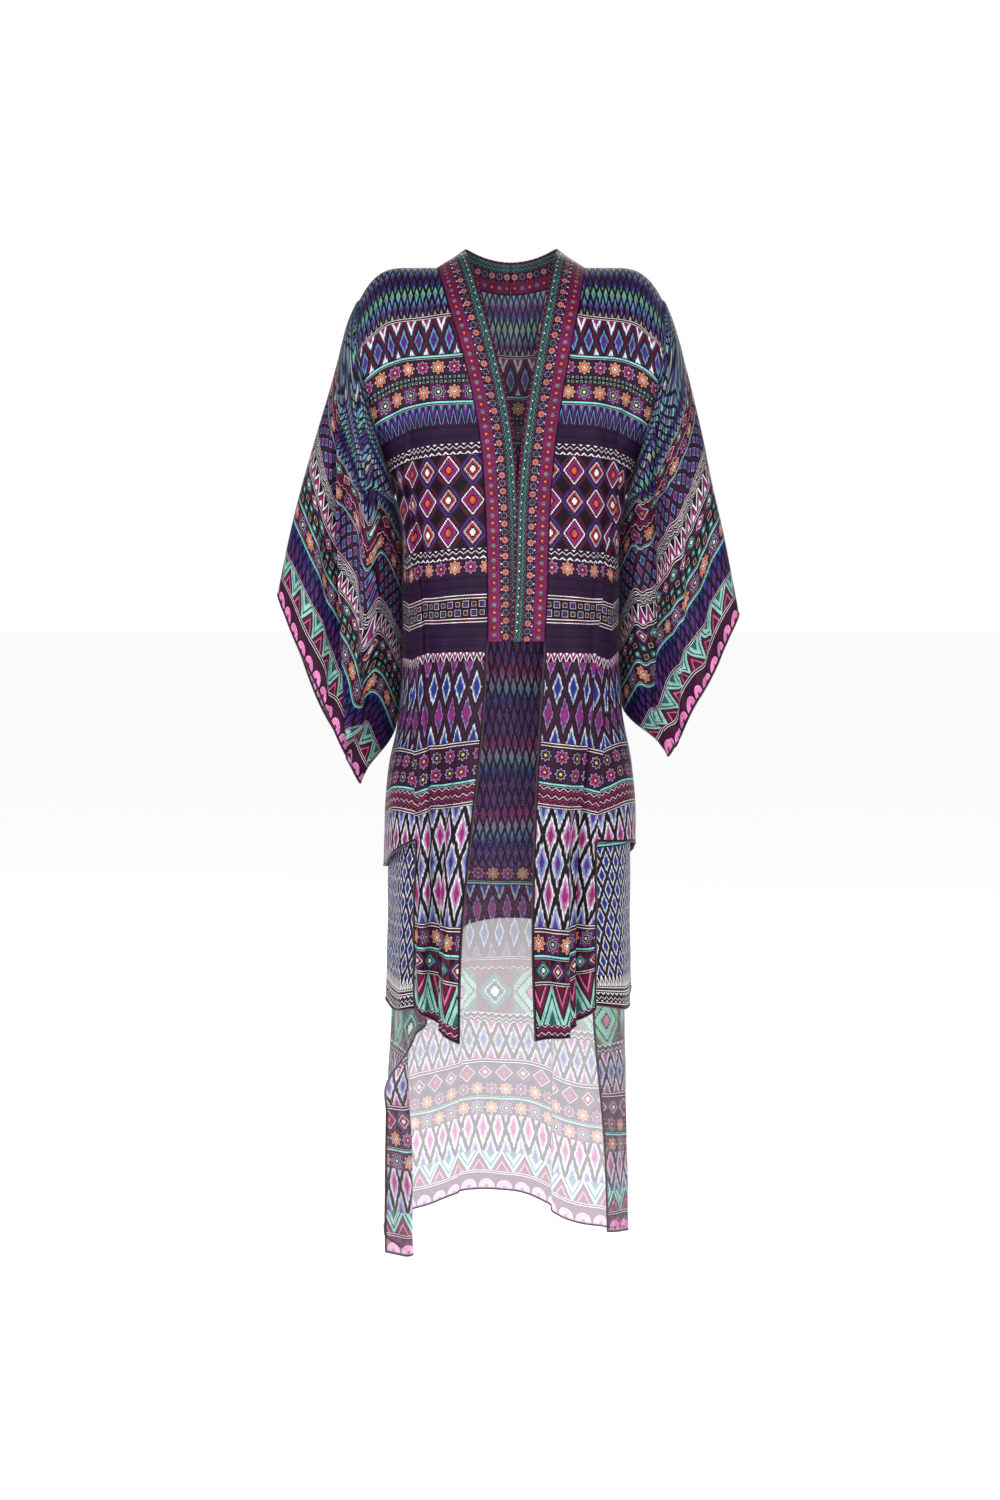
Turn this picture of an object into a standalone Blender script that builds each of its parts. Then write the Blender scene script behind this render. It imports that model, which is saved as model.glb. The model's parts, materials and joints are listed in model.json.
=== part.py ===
"""Open kimono of printed silk: two long fronts, a back of three layers, wide sleeves and a band.

Metres, +Z up, the front faces -Y, +X is the wearer's left. The origin is at shoulder height on
the middle of the shoulder line. Every piece is a thin wall with open ends; the drop of a point is
how far it hangs below the shoulder line.
"""
from collections import namedtuple

import bpy
import numpy as np

# Cloth and seams
WALL = 0.0014
BAND_WALL = 0.0020
SEAM_GAP = 0.0003
ARM_GAP = 0.0009
SIDE_GAP = 0.0006

# Shoulders and armholes
SHOULDER_REACH = 0.205
SHOULDER_FLAT = 0.140
SHOULDER_FALL = 0.042
SHOULDER_SINK = 0.006
SHOULDER_ROUND = 0.100
UNDERARM_DROP = 0.310
ROUND_POWER = 0.80

# Band round the neck and down the fronts
NECK_HALF = 0.100
NECK_DROP = 0.030
BAND_WIDTH = 0.045
BAND_END_DROP = 0.507

# Layers of the back
LAYER_STEP = 0.0065
LAYER_SEAM_DROP = 0.440
LAYER_EASE = 0.070
LAYER_TUCK = 0.0080
LAYER_SIDE = 0.0016
SLIT_DROP = 0.775

# Rows and columns of the panels
ARM_ROWS = 12
SIDE_ROWS = 8
SKIRT_ROWS = 7
FRONT_COLUMNS = 14
NECK_COLUMNS = 10
SHOULDER_COLUMNS = 10
SLEEVE_ROWS = 9
SLEEVE_COLUMNS = 11
LAYER_ROWS = 7
BAND_COLUMNS = 4
BAND_ROWS = 36

# The hollow form, by drop: half width, depth to the front, depth to the back, armhole half depth
Section = namedtuple("Section", "drop half_width front back arm")
SECTIONS = [
    Section(0.000, 0.205, 0.100, 0.084, 0.045),
    Section(0.050, 0.204, 0.106, 0.092, 0.066),
    Section(0.120, 0.200, 0.114, 0.100, 0.071),
    Section(0.200, 0.188, 0.123, 0.108, 0.054),
    Section(0.270, 0.170, 0.127, 0.112, 0.022),
    Section(0.310, 0.158, 0.128, 0.113, 0.000),
    Section(0.360, 0.149, 0.128, 0.113, 0.000),
    Section(0.450, 0.148, 0.128, 0.115, 0.000),
    Section(0.560, 0.150, 0.130, 0.120, 0.000),
    Section(0.610, 0.155, 0.130, 0.122, 0.000),
    Section(0.680, 0.169, 0.132, 0.126, 0.000),
    Section(0.720, 0.174, 0.133, 0.128, 0.000),
    Section(0.780, 0.176, 0.134, 0.131, 0.000),
    Section(0.900, 0.177, 0.135, 0.137, 0.000),
    Section(1.020, 0.180, 0.138, 0.142, 0.000),
    Section(1.200, 0.186, 0.140, 0.149, 0.000),
    Section(1.380, 0.188, 0.142, 0.155, 0.000),
]

# Edges of the fronts, by drop: distance of the inner and outer edge from the middle
Edge = namedtuple("Edge", "drop inner outer")
EDGES = {
    -1: [
        Edge(0.000, 0.100, 0.205),
        Edge(0.050, 0.086, 0.204),
        Edge(0.124, 0.065, 0.200),
        Edge(0.256, 0.040, 0.175),
        Edge(0.310, 0.036, 0.158),
        Edge(0.450, 0.032, 0.138),
        Edge(0.507, 0.032, 0.136),
        Edge(0.600, 0.036, 0.133),
        Edge(0.790, 0.055, 0.128),
        Edge(0.900, 0.064, 0.128),
        Edge(1.070, 0.068, 0.128),
    ],
    1: [
        Edge(0.000, 0.100, 0.205),
        Edge(0.050, 0.092, 0.204),
        Edge(0.124, 0.078, 0.200),
        Edge(0.256, 0.058, 0.175),
        Edge(0.310, 0.053, 0.158),
        Edge(0.450, 0.048, 0.138),
        Edge(0.507, 0.045, 0.135),
        Edge(0.600, 0.039, 0.128),
        Edge(0.790, 0.030, 0.114),
        Edge(0.900, 0.028, 0.111),
        Edge(1.070, 0.033, 0.111),
    ],
}

# Hems of the fronts: drop at the inner edge, at the middle fold and at the outer edge
FrontHem = namedtuple("FrontHem", "inner fold outer")
FRONT_HEMS = {-1: FrontHem(1.044, 1.023, 0.996), 1: FrontHem(1.041, 1.033, 1.000)}

# Folds of the fronts: place across at the start and at the hem, drops, width and height
Fold = namedtuple("Fold", "start_across hem_across start_drop full_drop width height")
FRONT_FOLDS = {
    -1: [
        Fold(0.30, 0.16, 0.30, 0.95, 0.20, 0.0110),
        Fold(0.62, 0.50, 0.18, 0.90, 0.17, -0.0100),
        Fold(0.86, 0.80, 0.36, 1.00, 0.16, 0.0080),
    ],
    1: [
        Fold(0.18, 0.10, 0.52, 0.98, 0.14, -0.0070),
        Fold(0.34, 0.42, 0.30, 0.95, 0.16, 0.0120),
        Fold(0.64, 0.70, 0.18, 0.90, 0.16, -0.0090),
        Fold(0.88, 0.90, 0.40, 1.00, 0.14, 0.0060),
    ],
}

# Folds of the back, shared by its layers; across runs from -1 to 1
BACK_FOLDS = [
    Fold(-0.74, -0.72, 0.42, 1.00, 0.10, -0.0060),
    Fold(-0.46, -0.50, 0.20, 0.95, 0.11, 0.0090),
    Fold(-0.24, -0.28, 0.30, 1.00, 0.10, -0.0100),
    Fold(-0.05, -0.04, 0.12, 0.90, 0.11, 0.0080),
    Fold(0.16, 0.20, 0.30, 1.05, 0.10, -0.0110),
    Fold(0.40, 0.44, 0.20, 0.95, 0.11, 0.0090),
    Fold(0.70, 0.68, 0.42, 1.00, 0.10, -0.0060),
]

# Layers of the back: steps inward and rows below the slit
Layer = namedtuple("Layer", "name steps rows")
LAYERS = [
    Layer("back_outer", 0, 0),
    Layer("back_middle", 1, 5),
    Layer("back_long", 2, 11),
]

# Hems of the layers, by place across: drop of each
Hem = namedtuple("Hem", "across back_outer back_middle back_long")
HEMS = [
    Hem(-1.00, SLIT_DROP, 1.004, 1.348),
    Hem(-0.62, 0.826, 1.016, 1.346),
    Hem(-0.30, 0.836, 0.958, 1.334),
    Hem(0.00, 0.842, 0.918, 1.325),
    Hem(0.20, 0.836, 0.936, 1.360),
    Hem(0.42, 0.818, 0.988, 1.366),
    Hem(0.62, 0.792, 1.014, 1.342),
    Hem(1.00, SLIT_DROP, 0.998, 1.318),
]

# Free front edges of the lower layers, by drop: distance from the middle behind each front
LayerEdge = namedtuple("LayerEdge", "drop right left")
LAYER_EDGES = {
    "back_middle": [
        LayerEdge(0.430, 0.1385, 0.1385),
        LayerEdge(0.550, 0.1320, 0.1320),
        LayerEdge(0.790, 0.1180, 0.1060),
        LayerEdge(1.020, 0.1150, 0.1030),
    ],
    "back_long": [
        LayerEdge(0.430, 0.1385, 0.1385),
        LayerEdge(0.550, 0.1320, 0.1320),
        LayerEdge(0.790, 0.1180, 0.1060),
        LayerEdge(1.020, 0.1150, 0.1120),
        LayerEdge(1.200, 0.1000, 0.1280),
        LayerEdge(1.380, 0.0950, 0.1340),
    ],
}

# The longest layer's right edge turns back on itself low down: drops, place, bend and turn
Turn = namedtuple("Turn", "start_drop full_drop across bend degrees")
EDGE_TURN = Turn(1.030, 1.190, -0.862, 0.026, 168.0)
TURN_COLUMNS = 8

# Sleeve rows by level, 0 at the shoulder, 1 at the underarm and 2 at the cuff: outer fold line,
# inner seam line, half depth and middle
SleeveRow = namedtuple("SleeveRow", "level outer_x outer_z inner_x inner_z half_depth middle")
SLEEVES = {
    -1: [
        SleeveRow(0.00, 0.2105, -0.053, 0.160, -0.3115, 0.004, 0.000),
        SleeveRow(0.07, 0.2190, -0.072, 0.160, -0.3115, 0.006, 0.000),
        SleeveRow(0.25, 0.2310, -0.113, 0.160, -0.3115, 0.010, 0.000),
        SleeveRow(0.50, 0.2440, -0.160, 0.160, -0.3115, 0.026, -0.001),
        SleeveRow(0.70, 0.2560, -0.202, 0.160, -0.3115, 0.046, -0.002),
        SleeveRow(0.85, 0.2660, -0.236, 0.160, -0.3115, 0.061, -0.003),
        SleeveRow(1.00, 0.2765, -0.272, 0.160, -0.3115, 0.066, -0.005),
        SleeveRow(1.40, 0.2960, -0.345, 0.163, -0.4700, 0.064, -0.012),
        SleeveRow(1.75, 0.3090, -0.405, 0.168, -0.6200, 0.057, -0.020),
        SleeveRow(2.00, 0.3170, -0.446, 0.206, -0.7050, 0.048, -0.026),
    ],
    1: [
        SleeveRow(0.00, 0.2105, -0.053, 0.160, -0.3115, 0.004, 0.000),
        SleeveRow(0.07, 0.2180, -0.072, 0.160, -0.3115, 0.006, 0.000),
        SleeveRow(0.25, 0.2310, -0.113, 0.160, -0.3115, 0.010, 0.000),
        SleeveRow(0.50, 0.2450, -0.165, 0.160, -0.3115, 0.026, -0.001),
        SleeveRow(0.70, 0.2560, -0.212, 0.160, -0.3115, 0.046, -0.002),
        SleeveRow(0.85, 0.2637, -0.248, 0.160, -0.3115, 0.061, -0.003),
        SleeveRow(1.00, 0.2710, -0.285, 0.160, -0.3115, 0.066, -0.005),
        SleeveRow(1.40, 0.2890, -0.364, 0.162, -0.4500, 0.064, -0.012),
        SleeveRow(1.75, 0.3020, -0.430, 0.166, -0.5900, 0.057, -0.020),
        SleeveRow(2.00, 0.3100, -0.472, 0.215, -0.6680, 0.048, -0.026),
    ],
}
SLEEVE_START = 0.009
SLEEVE_POWER = 0.62
CUFF_SWELL = {-1: 0.012, 1: 0.003}

# Folds of the sleeves: place outward at the start and at the cuff, levels, width, height, face
SleeveFold = namedtuple("SleeveFold", "start_out cuff_out start full width height face")
SLEEVE_FOLDS = {
    -1: [
        SleeveFold(0.52, 0.50, 0.25, 1.10, 0.12, -0.022, -1),
        SleeveFold(0.22, 0.24, 0.80, 1.60, 0.11, 0.010, -1),
        SleeveFold(0.80, 0.78, 0.50, 1.50, 0.10, 0.008, -1),
        SleeveFold(0.50, 0.42, 0.30, 1.30, 0.14, -0.016, 1),
    ],
    1: [
        SleeveFold(0.30, 0.30, 0.25, 1.10, 0.12, -0.022, -1),
        SleeveFold(0.60, 0.62, 0.50, 1.40, 0.12, 0.010, -1),
        SleeveFold(0.82, 0.84, 0.80, 1.70, 0.10, -0.008, -1),
        SleeveFold(0.46, 0.50, 0.30, 1.30, 0.14, -0.016, 1),
    ],
}

# How the band stands off its seam, by place along: reach towards the opening, forward, up
BandLean = namedtuple("BandLean", "along inward forward up")
BAND_LEANS = [
    BandLean(0.00, 0.000, 0.20, 0.98),
    BandLean(0.10, 0.420, 0.06, 0.86),
    BandLean(0.19, 0.860, -0.16, 0.50),
    BandLean(0.26, 0.960, -0.04, 0.28),
    BandLean(0.40, 0.995, 0.00, 0.10),
    BandLean(0.60, 1.000, 0.00, 0.05),
    BandLean(1.00, 1.000, 0.00, 0.00),
]
BAND_NECK_SHARE = 0.19
BAND_LAP = {-1: 0.003, 1: -0.005}

# Colours of the pieces
CLOTH_COLOURS = {
    "front_right": (0.17, 0.05, 0.16),
    "front_left": (0.17, 0.05, 0.16),
    "back_outer": (0.20, 0.09, 0.22),
    "back_middle": (0.16, 0.10, 0.36),
    "back_long": (0.42, 0.34, 0.50),
    "sleeve_right": (0.32, 0.07, 0.24),
    "sleeve_left": (0.32, 0.07, 0.24),
    "collar_right": (0.50, 0.04, 0.24),
    "collar_left": (0.50, 0.04, 0.24),
}
CLOTH_ROUGHNESS = 0.55


def smooth_step(low, high, value):
    """Rise from 0 at low to 1 at high with flat ends."""
    share = np.clip((value - low) / (high - low), 0.0, 1.0)
    return share * share * (3.0 - 2.0 * share)


def follow(rows, column, place, key="drop"):
    """Smooth curve through one column of a table, cubic between rows."""
    knots = np.array([getattr(row, key) for row in rows])
    values = np.array([getattr(row, column) for row in rows])
    slopes = np.gradient(values, knots)
    place = np.clip(np.asarray(place, dtype=float), knots[0], knots[-1])
    lower = np.clip(np.searchsorted(knots, place, side="right") - 1, 0, len(knots) - 2)
    span = knots[lower + 1] - knots[lower]
    t = (place - knots[lower]) / span
    rise = t * t * (3.0 - 2.0 * t)
    start = t * (1.0 - t) ** 2 * slopes[lower]
    end = t * t * (t - 1.0) * slopes[lower + 1]
    return values[lower] * (1.0 - rise) + values[lower + 1] * rise + span * (start + end)


def shoulder_round(drop):
    """Quarter-round share with which the depth opens below the shoulder line."""
    return np.sqrt(np.clip(1.0 - (1.0 - np.clip(drop / SHOULDER_ROUND, 0.0, 1.0)) ** 2, 0.0, 1.0))


def shoulder_height(across, drop):
    """Height of a point: its drop, and the fall of the shoulder towards its end."""
    past = np.clip((np.abs(across) - SHOULDER_FLAT) / (SHOULDER_REACH - SHOULDER_FLAT), 0.0, 1.2)
    fall = SHOULDER_SINK + SHOULDER_FALL * past ** 3
    return -drop - fall * (1.0 - smooth_step(0.0, 0.26, drop))


def signed_power(value, power):
    """Power that keeps the sign."""
    return np.sign(value) * np.abs(value) ** power


def fold_height(folds, across, drop):
    """Sum of soft folds, each a bell across the cloth that grows with the drop."""
    height = np.zeros(np.broadcast(across, drop).shape)
    for fold in folds:
        share = np.clip((drop - fold.start_drop) / (fold.full_drop - fold.start_drop), 0.0, 1.0)
        centre = fold.start_across + (fold.hem_across - fold.start_across) * share
        grow = smooth_step(0.0, 1.0, share)
        height = height + fold.height * grow * np.exp(-((across - centre) / fold.width) ** 2)
    return height


def grid_normals(points):
    """Unit normals of a grid of points."""
    rows = np.gradient(points, axis=0)
    columns = np.gradient(points, axis=1)
    normals = np.cross(columns, rows)
    return normals / np.maximum(np.linalg.norm(normals, axis=2, keepdims=True), 1e-9)


def front_points(side, across, drop):
    """Front at a share across, from the inner edge to the seam, and a drop."""
    half = follow(SECTIONS, "half_width", drop)
    opening = shoulder_round(drop)
    depth = follow(SECTIONS, "front", drop) * opening
    arm = follow(SECTIONS, "arm", drop) * opening
    inner = follow(EDGES[side], "inner", drop)
    outer = np.minimum(follow(EDGES[side], "outer", drop), half)
    rounding = smooth_step(0.22, 0.36, drop)
    flat_x = inner + (half - inner) * across
    flat_y = -(depth + (arm - depth) * (flat_x / half) ** 2)
    inner_turn = np.arcsin(np.clip(inner / half, 0.0, 1.0) ** (1.0 / ROUND_POWER))
    outer_turn = np.arcsin(np.clip(outer / half, 0.0, 1.0) ** (1.0 / ROUND_POWER))
    turn = inner_turn + (outer_turn - SIDE_GAP / half - inner_turn) * across
    round_x = half * signed_power(np.sin(turn), ROUND_POWER)
    round_y = -depth * np.clip(np.cos(turn), 0.0, 1.0) ** ROUND_POWER
    x = flat_x + (round_x - flat_x) * rounding
    y = flat_y + (round_y - flat_y) * rounding
    z = shoulder_height(x, drop)
    return np.stack(np.broadcast_arrays(side * x, y, z), axis=-1)


def back_points(across, drop, inset, edges=None):
    """Back at a share across from -1 to 1 and a drop, its rounded sides coming to the front."""
    half = follow(SECTIONS, "half_width", drop) - inset
    opening = shoulder_round(drop)
    front = follow(SECTIONS, "front", drop) * opening - inset
    back = follow(SECTIONS, "back", drop) * opening - inset
    arm = follow(SECTIONS, "arm", drop) * opening
    if edges is None:
        right_edge = follow(EDGES[-1], "outer", drop)
        left_edge = follow(EDGES[1], "outer", drop)
    else:
        right_edge = follow(edges, "right", drop)
        left_edge = follow(edges, "left", drop)
    edge = np.minimum(np.where(across < 0.0, right_edge, left_edge), half)
    rounding = smooth_step(0.22, 0.36, drop)
    flat_x = half * across
    flat_y = back + (arm - back) * across ** 2
    reach = np.pi - np.arcsin(np.clip(edge / half, 0.0, 1.0) ** (1.0 / ROUND_POWER))
    turn = reach * np.abs(across)
    round_x = np.sign(across) * half * np.abs(np.sin(turn)) ** ROUND_POWER
    cosine = np.cos(turn)
    round_y = np.where(cosine > 0.0, back, front) * signed_power(cosine, ROUND_POWER)
    x = flat_x + (round_x - flat_x) * rounding
    y = flat_y + (round_y - flat_y) * rounding
    z = shoulder_height(x, drop)
    return np.stack(np.broadcast_arrays(x, y, z), axis=-1)


def arm_drops():
    """Drops of the rows from the shoulder line to the underarm, close together at both ends."""
    return UNDERARM_DROP * (0.5 - 0.5 * np.cos(np.linspace(0.0, np.pi, ARM_ROWS + 1)))


def side_drops():
    """Drops of the rows from the shoulder line to the end of the side seam."""
    side = np.linspace(UNDERARM_DROP, SLIT_DROP, SIDE_ROWS + 1)
    return np.concatenate([arm_drops(), side[1:]])


def cloth_wall(name, points, wall):
    """Closed thin wall on a grid of points."""
    rows, columns = points.shape[:2]
    index = np.arange(rows * columns).reshape(rows, columns)
    corners = [index[:-1, :-1], index[:-1, 1:], index[1:, 1:], index[1:, :-1]]
    faces = np.stack(corners, axis=-1).reshape(-1, 4)
    mesh = bpy.data.meshes.new(name)
    mesh.from_pydata(points.reshape(-1, 3).tolist(), [], faces.tolist())
    mesh.update()
    piece = bpy.data.objects.new(name, mesh)
    bpy.context.scene.collection.objects.link(piece)
    thick = piece.modifiers.new("wall", "SOLIDIFY")
    thick.thickness = wall
    thick.offset = 0.0
    thick.use_even_offset = False
    cloth = bpy.data.materials.new(name + "_cloth")
    cloth.use_nodes = True
    shader = cloth.node_tree.nodes["Principled BSDF"]
    shader.inputs["Base Color"].default_value = (*CLOTH_COLOURS[name], 1.0)
    shader.inputs["Roughness"].default_value = CLOTH_ROUGHNESS
    shader.inputs["Metallic"].default_value = 0.0
    mesh.materials.append(cloth)
    return piece


def front_hem(side, across):
    """Drop of the hem across a front, through its inner edge, fold and outer edge."""
    hem = FRONT_HEMS[side]
    return np.interp(across, [0.0, 0.45, 1.0], [hem.inner, hem.fold, hem.outer])


def front_grid(side):
    """Grid of a front panel: seamed rows down to the slit, then free rows to the hem."""
    across = np.linspace(0.0, 1.0, FRONT_COLUMNS)[None, :]
    seamed = side_drops()[:, None] + 0.0 * across
    share = np.linspace(0.0, 1.0, SKIRT_ROWS + 1)[1:, None]
    skirt = SLIT_DROP + (front_hem(side, across) - SLIT_DROP) * share
    drop = np.concatenate([seamed, skirt])
    points = front_points(side, across, drop)
    lift = fold_height(FRONT_FOLDS[side], across, drop)
    free = smooth_step(SLIT_DROP, SLIT_DROP + 0.10, drop)
    held = 1.0 - smooth_step(0.80, 1.0, across) * (1.0 - free)
    below_band = smooth_step(BAND_END_DROP, BAND_END_DROP + 0.12, drop)
    lift = lift * held * np.maximum(smooth_step(0.0, 0.16, across), below_band)
    outward = -side * grid_normals(points)
    points = points + outward * (lift + 0.004 * free)[..., None]
    points[..., 1] -= SEAM_GAP * 0.7
    return points


def back_top(across):
    """Drop of the top edge of the back: the neckline scooped between the shoulders."""
    place = np.clip(np.abs(across) * SHOULDER_REACH / NECK_HALF, 0.0, 1.0)
    return NECK_DROP * (1.0 - place ** 2)


def back_columns(turned=False):
    """Shares across the back from -1 to 1, with a column at each end of the neckline."""
    neck = NECK_HALF / SHOULDER_REACH
    half = np.concatenate([
        np.linspace(0.0, neck, NECK_COLUMNS + 1),
        np.linspace(neck, 1.0, SHOULDER_COLUMNS + 1)[1:],
    ])
    across = np.concatenate([-half[:0:-1], half])
    if turned:
        across = np.concatenate([across, np.linspace(-1.0, EDGE_TURN.across, TURN_COLUMNS + 1)])
        across = np.unique(np.round(across, 6))
        keep = np.diff(across, prepend=-2.0) > 0.004
        across = across[keep]
    return across[None, :]


def layer_hem(layer, across):
    """Drop of a layer's hem across the back."""
    return follow(HEMS, layer.name, across, "across")


def layer_inset(layer, drop):
    """How far a layer hangs inside the outer one: seated at its seam, then standing off."""
    seat = WALL + SEAM_GAP
    spread = smooth_step(0.0, LAYER_EASE, drop - LAYER_SEAM_DROP)
    return layer.steps * (seat + (LAYER_STEP - seat) * spread)


def back_grid(layer):
    """Grid of one layer of the back; lower layers are the outer one's points moved in."""
    across = back_columns(turned=layer.steps == 2)
    hem = layer_hem(layer, across)
    if layer.steps == 0:
        top = back_top(across)
        drop = top + (hem - top) * side_drops()[:, None] / SLIT_DROP
    else:
        seamed = np.linspace(LAYER_SEAM_DROP, SLIT_DROP, LAYER_ROWS + 1)[:, None]
        share = np.linspace(0.0, 1.0, layer.rows + 1)[1:, None]
        skirt = SLIT_DROP + (hem - SLIT_DROP) * share
        drop = np.concatenate([seamed + 0.0 * across, skirt])
    inset = layer_inset(layer, drop)
    if layer.steps:
        free = smooth_step(SLIT_DROP - 0.20, SLIT_DROP, drop)
        inset = inset + LAYER_TUCK * free * smooth_step(0.60, 0.90, np.abs(across))
        inset = inset + LAYER_SIDE * layer.steps * smooth_step(0.40, 0.70, np.abs(across))
    points = back_points(across, drop, inset, LAYER_EDGES.get(layer.name))
    lift = fold_height(BACK_FOLDS, across, drop)
    held = 1.0 - smooth_step(0.80, 0.98, np.abs(across))
    points = points + grid_normals(points) * (lift * held)[..., None]
    if layer.steps == 2:
        points = turned_edge(points, across, drop)
    if layer.steps == 0:
        points[..., 1] += SEAM_GAP * 0.7
    return points


def turned_edge(points, across, drop):
    """Roll the right-hand strip of a layer back on itself, away from the wearer.

    The strip past the bend line keeps its length: its heading turns evenly over the bend and is
    then straight, and the turn grows with the drop.
    """
    first = int(np.sum(across[0] <= EDGE_TURN.across + 1e-6)) - 1
    hinge = points[:, first]
    ahead = hinge - points[:, first + 1]
    ahead[:, 2] = 0.0
    ahead /= np.linalg.norm(ahead, axis=1, keepdims=True)
    away = np.stack([ahead[:, 1], -ahead[:, 0], 0.0 * ahead[:, 0]], axis=-1)
    grow = smooth_step(EDGE_TURN.start_drop, EDGE_TURN.full_drop, drop[:, first])
    angle = np.maximum(np.radians(EDGE_TURN.degrees) * grow, 1e-4)
    out = points.copy()
    for column in range(first):
        run = np.linalg.norm((points[:, column] - hinge)[:, :2], axis=1)
        bent = np.minimum(run, EDGE_TURN.bend)
        past = run - bent
        radius = EDGE_TURN.bend / angle
        heading = angle * bent / EDGE_TURN.bend
        forth = radius * np.sin(heading) + past * np.cos(heading)
        aside = radius * (1.0 - np.cos(heading)) + past * np.sin(heading)
        rolled = hinge + ahead * forth[:, None] + away * aside[:, None]
        rolled[:, 2] = points[:, column, 2]
        share = smooth_step(0.0, 0.05, grow)[:, None]
        out[:, column] = points[:, column] * (1.0 - share) + rolled * share
    return out


def armhole_points(side, face, share):
    """Edge of the armhole on the front (-1) or back (1) at a share of its depth."""
    drop = UNDERARM_DROP * share
    if face < 0:
        return front_points(side, np.ones_like(drop), drop)
    return back_points(side * np.ones_like(drop), drop, 0.0)


def sleeve_grid(side):
    """Grid of a sleeve: rows from the inner edge over the outer fold and back, level by level."""
    shares = np.concatenate([[SLEEVE_START], arm_drops()[1:] / UNDERARM_DROP])
    lower = np.linspace(1.0, 2.0, SLEEVE_ROWS + 1)[1:]
    level = np.concatenate([shares, lower])[:, None]
    turn = np.linspace(0.0, 1.0, 2 * SLEEVE_COLUMNS + 1)[None, :]
    face = np.where(turn <= 0.5, -1.0, 1.0)
    out = 0.5 - 0.5 * np.cos(2.0 * np.pi * turn)
    arm = np.minimum(level, 1.0)
    edges = np.where(
        (face < 0.0)[..., None],
        armhole_points(side, -1, arm),
        armhole_points(side, 1, arm),
    )
    rows = SLEEVES[side]
    below = (level > 1.0)
    inner_x = np.where(below, follow(rows, "inner_x", level, "level"), side * edges[..., 0] + ARM_GAP)
    inner_z = np.where(below, follow(rows, "inner_z", level, "level"), edges[..., 2])
    cap = 1.0 - smooth_step(0.0, 0.06, level)
    inner_z = inner_z - ARM_GAP * (1.0 - smooth_step(0.0, 0.3, level) + cap)
    inner_x = inner_x + ARM_GAP * cap
    inner_z = inner_z - np.where(below, 0.0, WALL * smooth_step(0.6, 1.0, arm))
    inner_x = inner_x + np.where(below, 0.0, WALL * smooth_step(0.4, 0.9, arm))
    outer_x = follow(rows, "outer_x", level, "level")
    outer_z = follow(rows, "outer_z", level, "level")
    middle = follow(rows, "middle", level, "level")
    depth = follow(rows, "half_depth", level, "level")
    width = np.where(below, 0.0, np.abs(edges[..., 1] - middle))
    closing = smooth_step(0.22, 0.86, level)
    bulge = np.sin(np.pi * out) * (1.0 - closing)
    bulge = bulge + (2.0 * np.sqrt(out * (1.0 - out))) ** SLEEVE_POWER * closing
    lift = sum(sleeve_fold(fold, level, out, face) for fold in SLEEVE_FOLDS[side])
    x = inner_x + (outer_x - inner_x) * out
    z = inner_z + (outer_z - inner_z) * out
    flare = (1.0 - out ** 2) ** (0.5 + 4.0 * closing)
    y = middle + face * (width * flare + depth * bulge + lift)
    y = y + face * SEAM_GAP * (1.0 - out)
    swell = CUFF_SWELL[side] * smooth_step(1.3, 2.0, level) * np.sin(np.pi * out) * (face > 0.0)
    return np.stack([side * (x + 0.9 * swell), y, z - 0.4 * swell], axis=-1)


def sleeve_fold(fold, level, out, face):
    """Height of one fold over a sleeve, on its front or back face."""
    share = np.clip((level - fold.start) / (2.0 - fold.start), 0.0, 1.0)
    centre = fold.start_out + (fold.cuff_out - fold.start_out) * share
    grow = smooth_step(fold.start, fold.full, level)
    on_face = np.where(face == fold.face, 1.0, 0.0)
    edge = np.sqrt(np.clip(4.0 * out * (1.0 - out), 0.0, 1.0))
    return fold.height * grow * on_face * edge * np.exp(-((out - centre) / fold.width) ** 2)


def along_edge(edge, columns, places):
    """Points along a panel's own edge at the given values of a column that grows along it."""
    return np.stack([np.interp(places, columns, edge[:, axis]) for axis in range(3)], axis=-1)


def band_grid(side):
    """Grid of half the band: from the centre back round the neck and down a front edge."""
    along = np.linspace(0.0, 1.0, BAND_ROWS)
    neck_share = np.clip(along / BAND_NECK_SHARE, 0.0, 1.0)
    columns = back_columns()[0]
    half = columns[columns * side >= 0.0]
    half = half[np.argsort(np.abs(half))]
    neck_edge = back_points(half, back_top(half), 0.0)
    neck_places = np.sin(0.5 * np.pi * neck_share) * NECK_HALF / SHOULDER_REACH
    neck_points = along_edge(neck_edge, np.abs(half), neck_places)
    drops = side_drops()
    front_edge = front_points(side, np.zeros_like(drops), drops)
    front_share = np.clip((along - BAND_NECK_SHARE) / (1.0 - BAND_NECK_SHARE), 0.0, 1.0)
    front_line = along_edge(front_edge, drops, BAND_END_DROP * front_share ** 1.15)
    seam = np.where((along < BAND_NECK_SHARE)[:, None], neck_points, front_line)
    lean = np.stack([
        -side * follow(BAND_LEANS, "inward", along, "along"),
        -follow(BAND_LEANS, "forward", along, "along"),
        follow(BAND_LEANS, "up", along, "along"),
    ], axis=-1)
    lean /= np.linalg.norm(lean, axis=1, keepdims=True)
    width = np.linspace(0.0, 1.0, BAND_COLUMNS)
    reach = WALL * 0.5 + SEAM_GAP + BAND_WIDTH * width
    points = seam[:, None, :] + lean[:, None, :] * reach[None, :, None]
    lap = smooth_step(0.45, 0.62, along)[:, None] * width[None, :]
    points[..., 1] += BAND_LAP[side] * lap
    points[..., 0] += side * SEAM_GAP * (1.0 - smooth_step(0.0, 0.05, along))[:, None]
    return points


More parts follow.
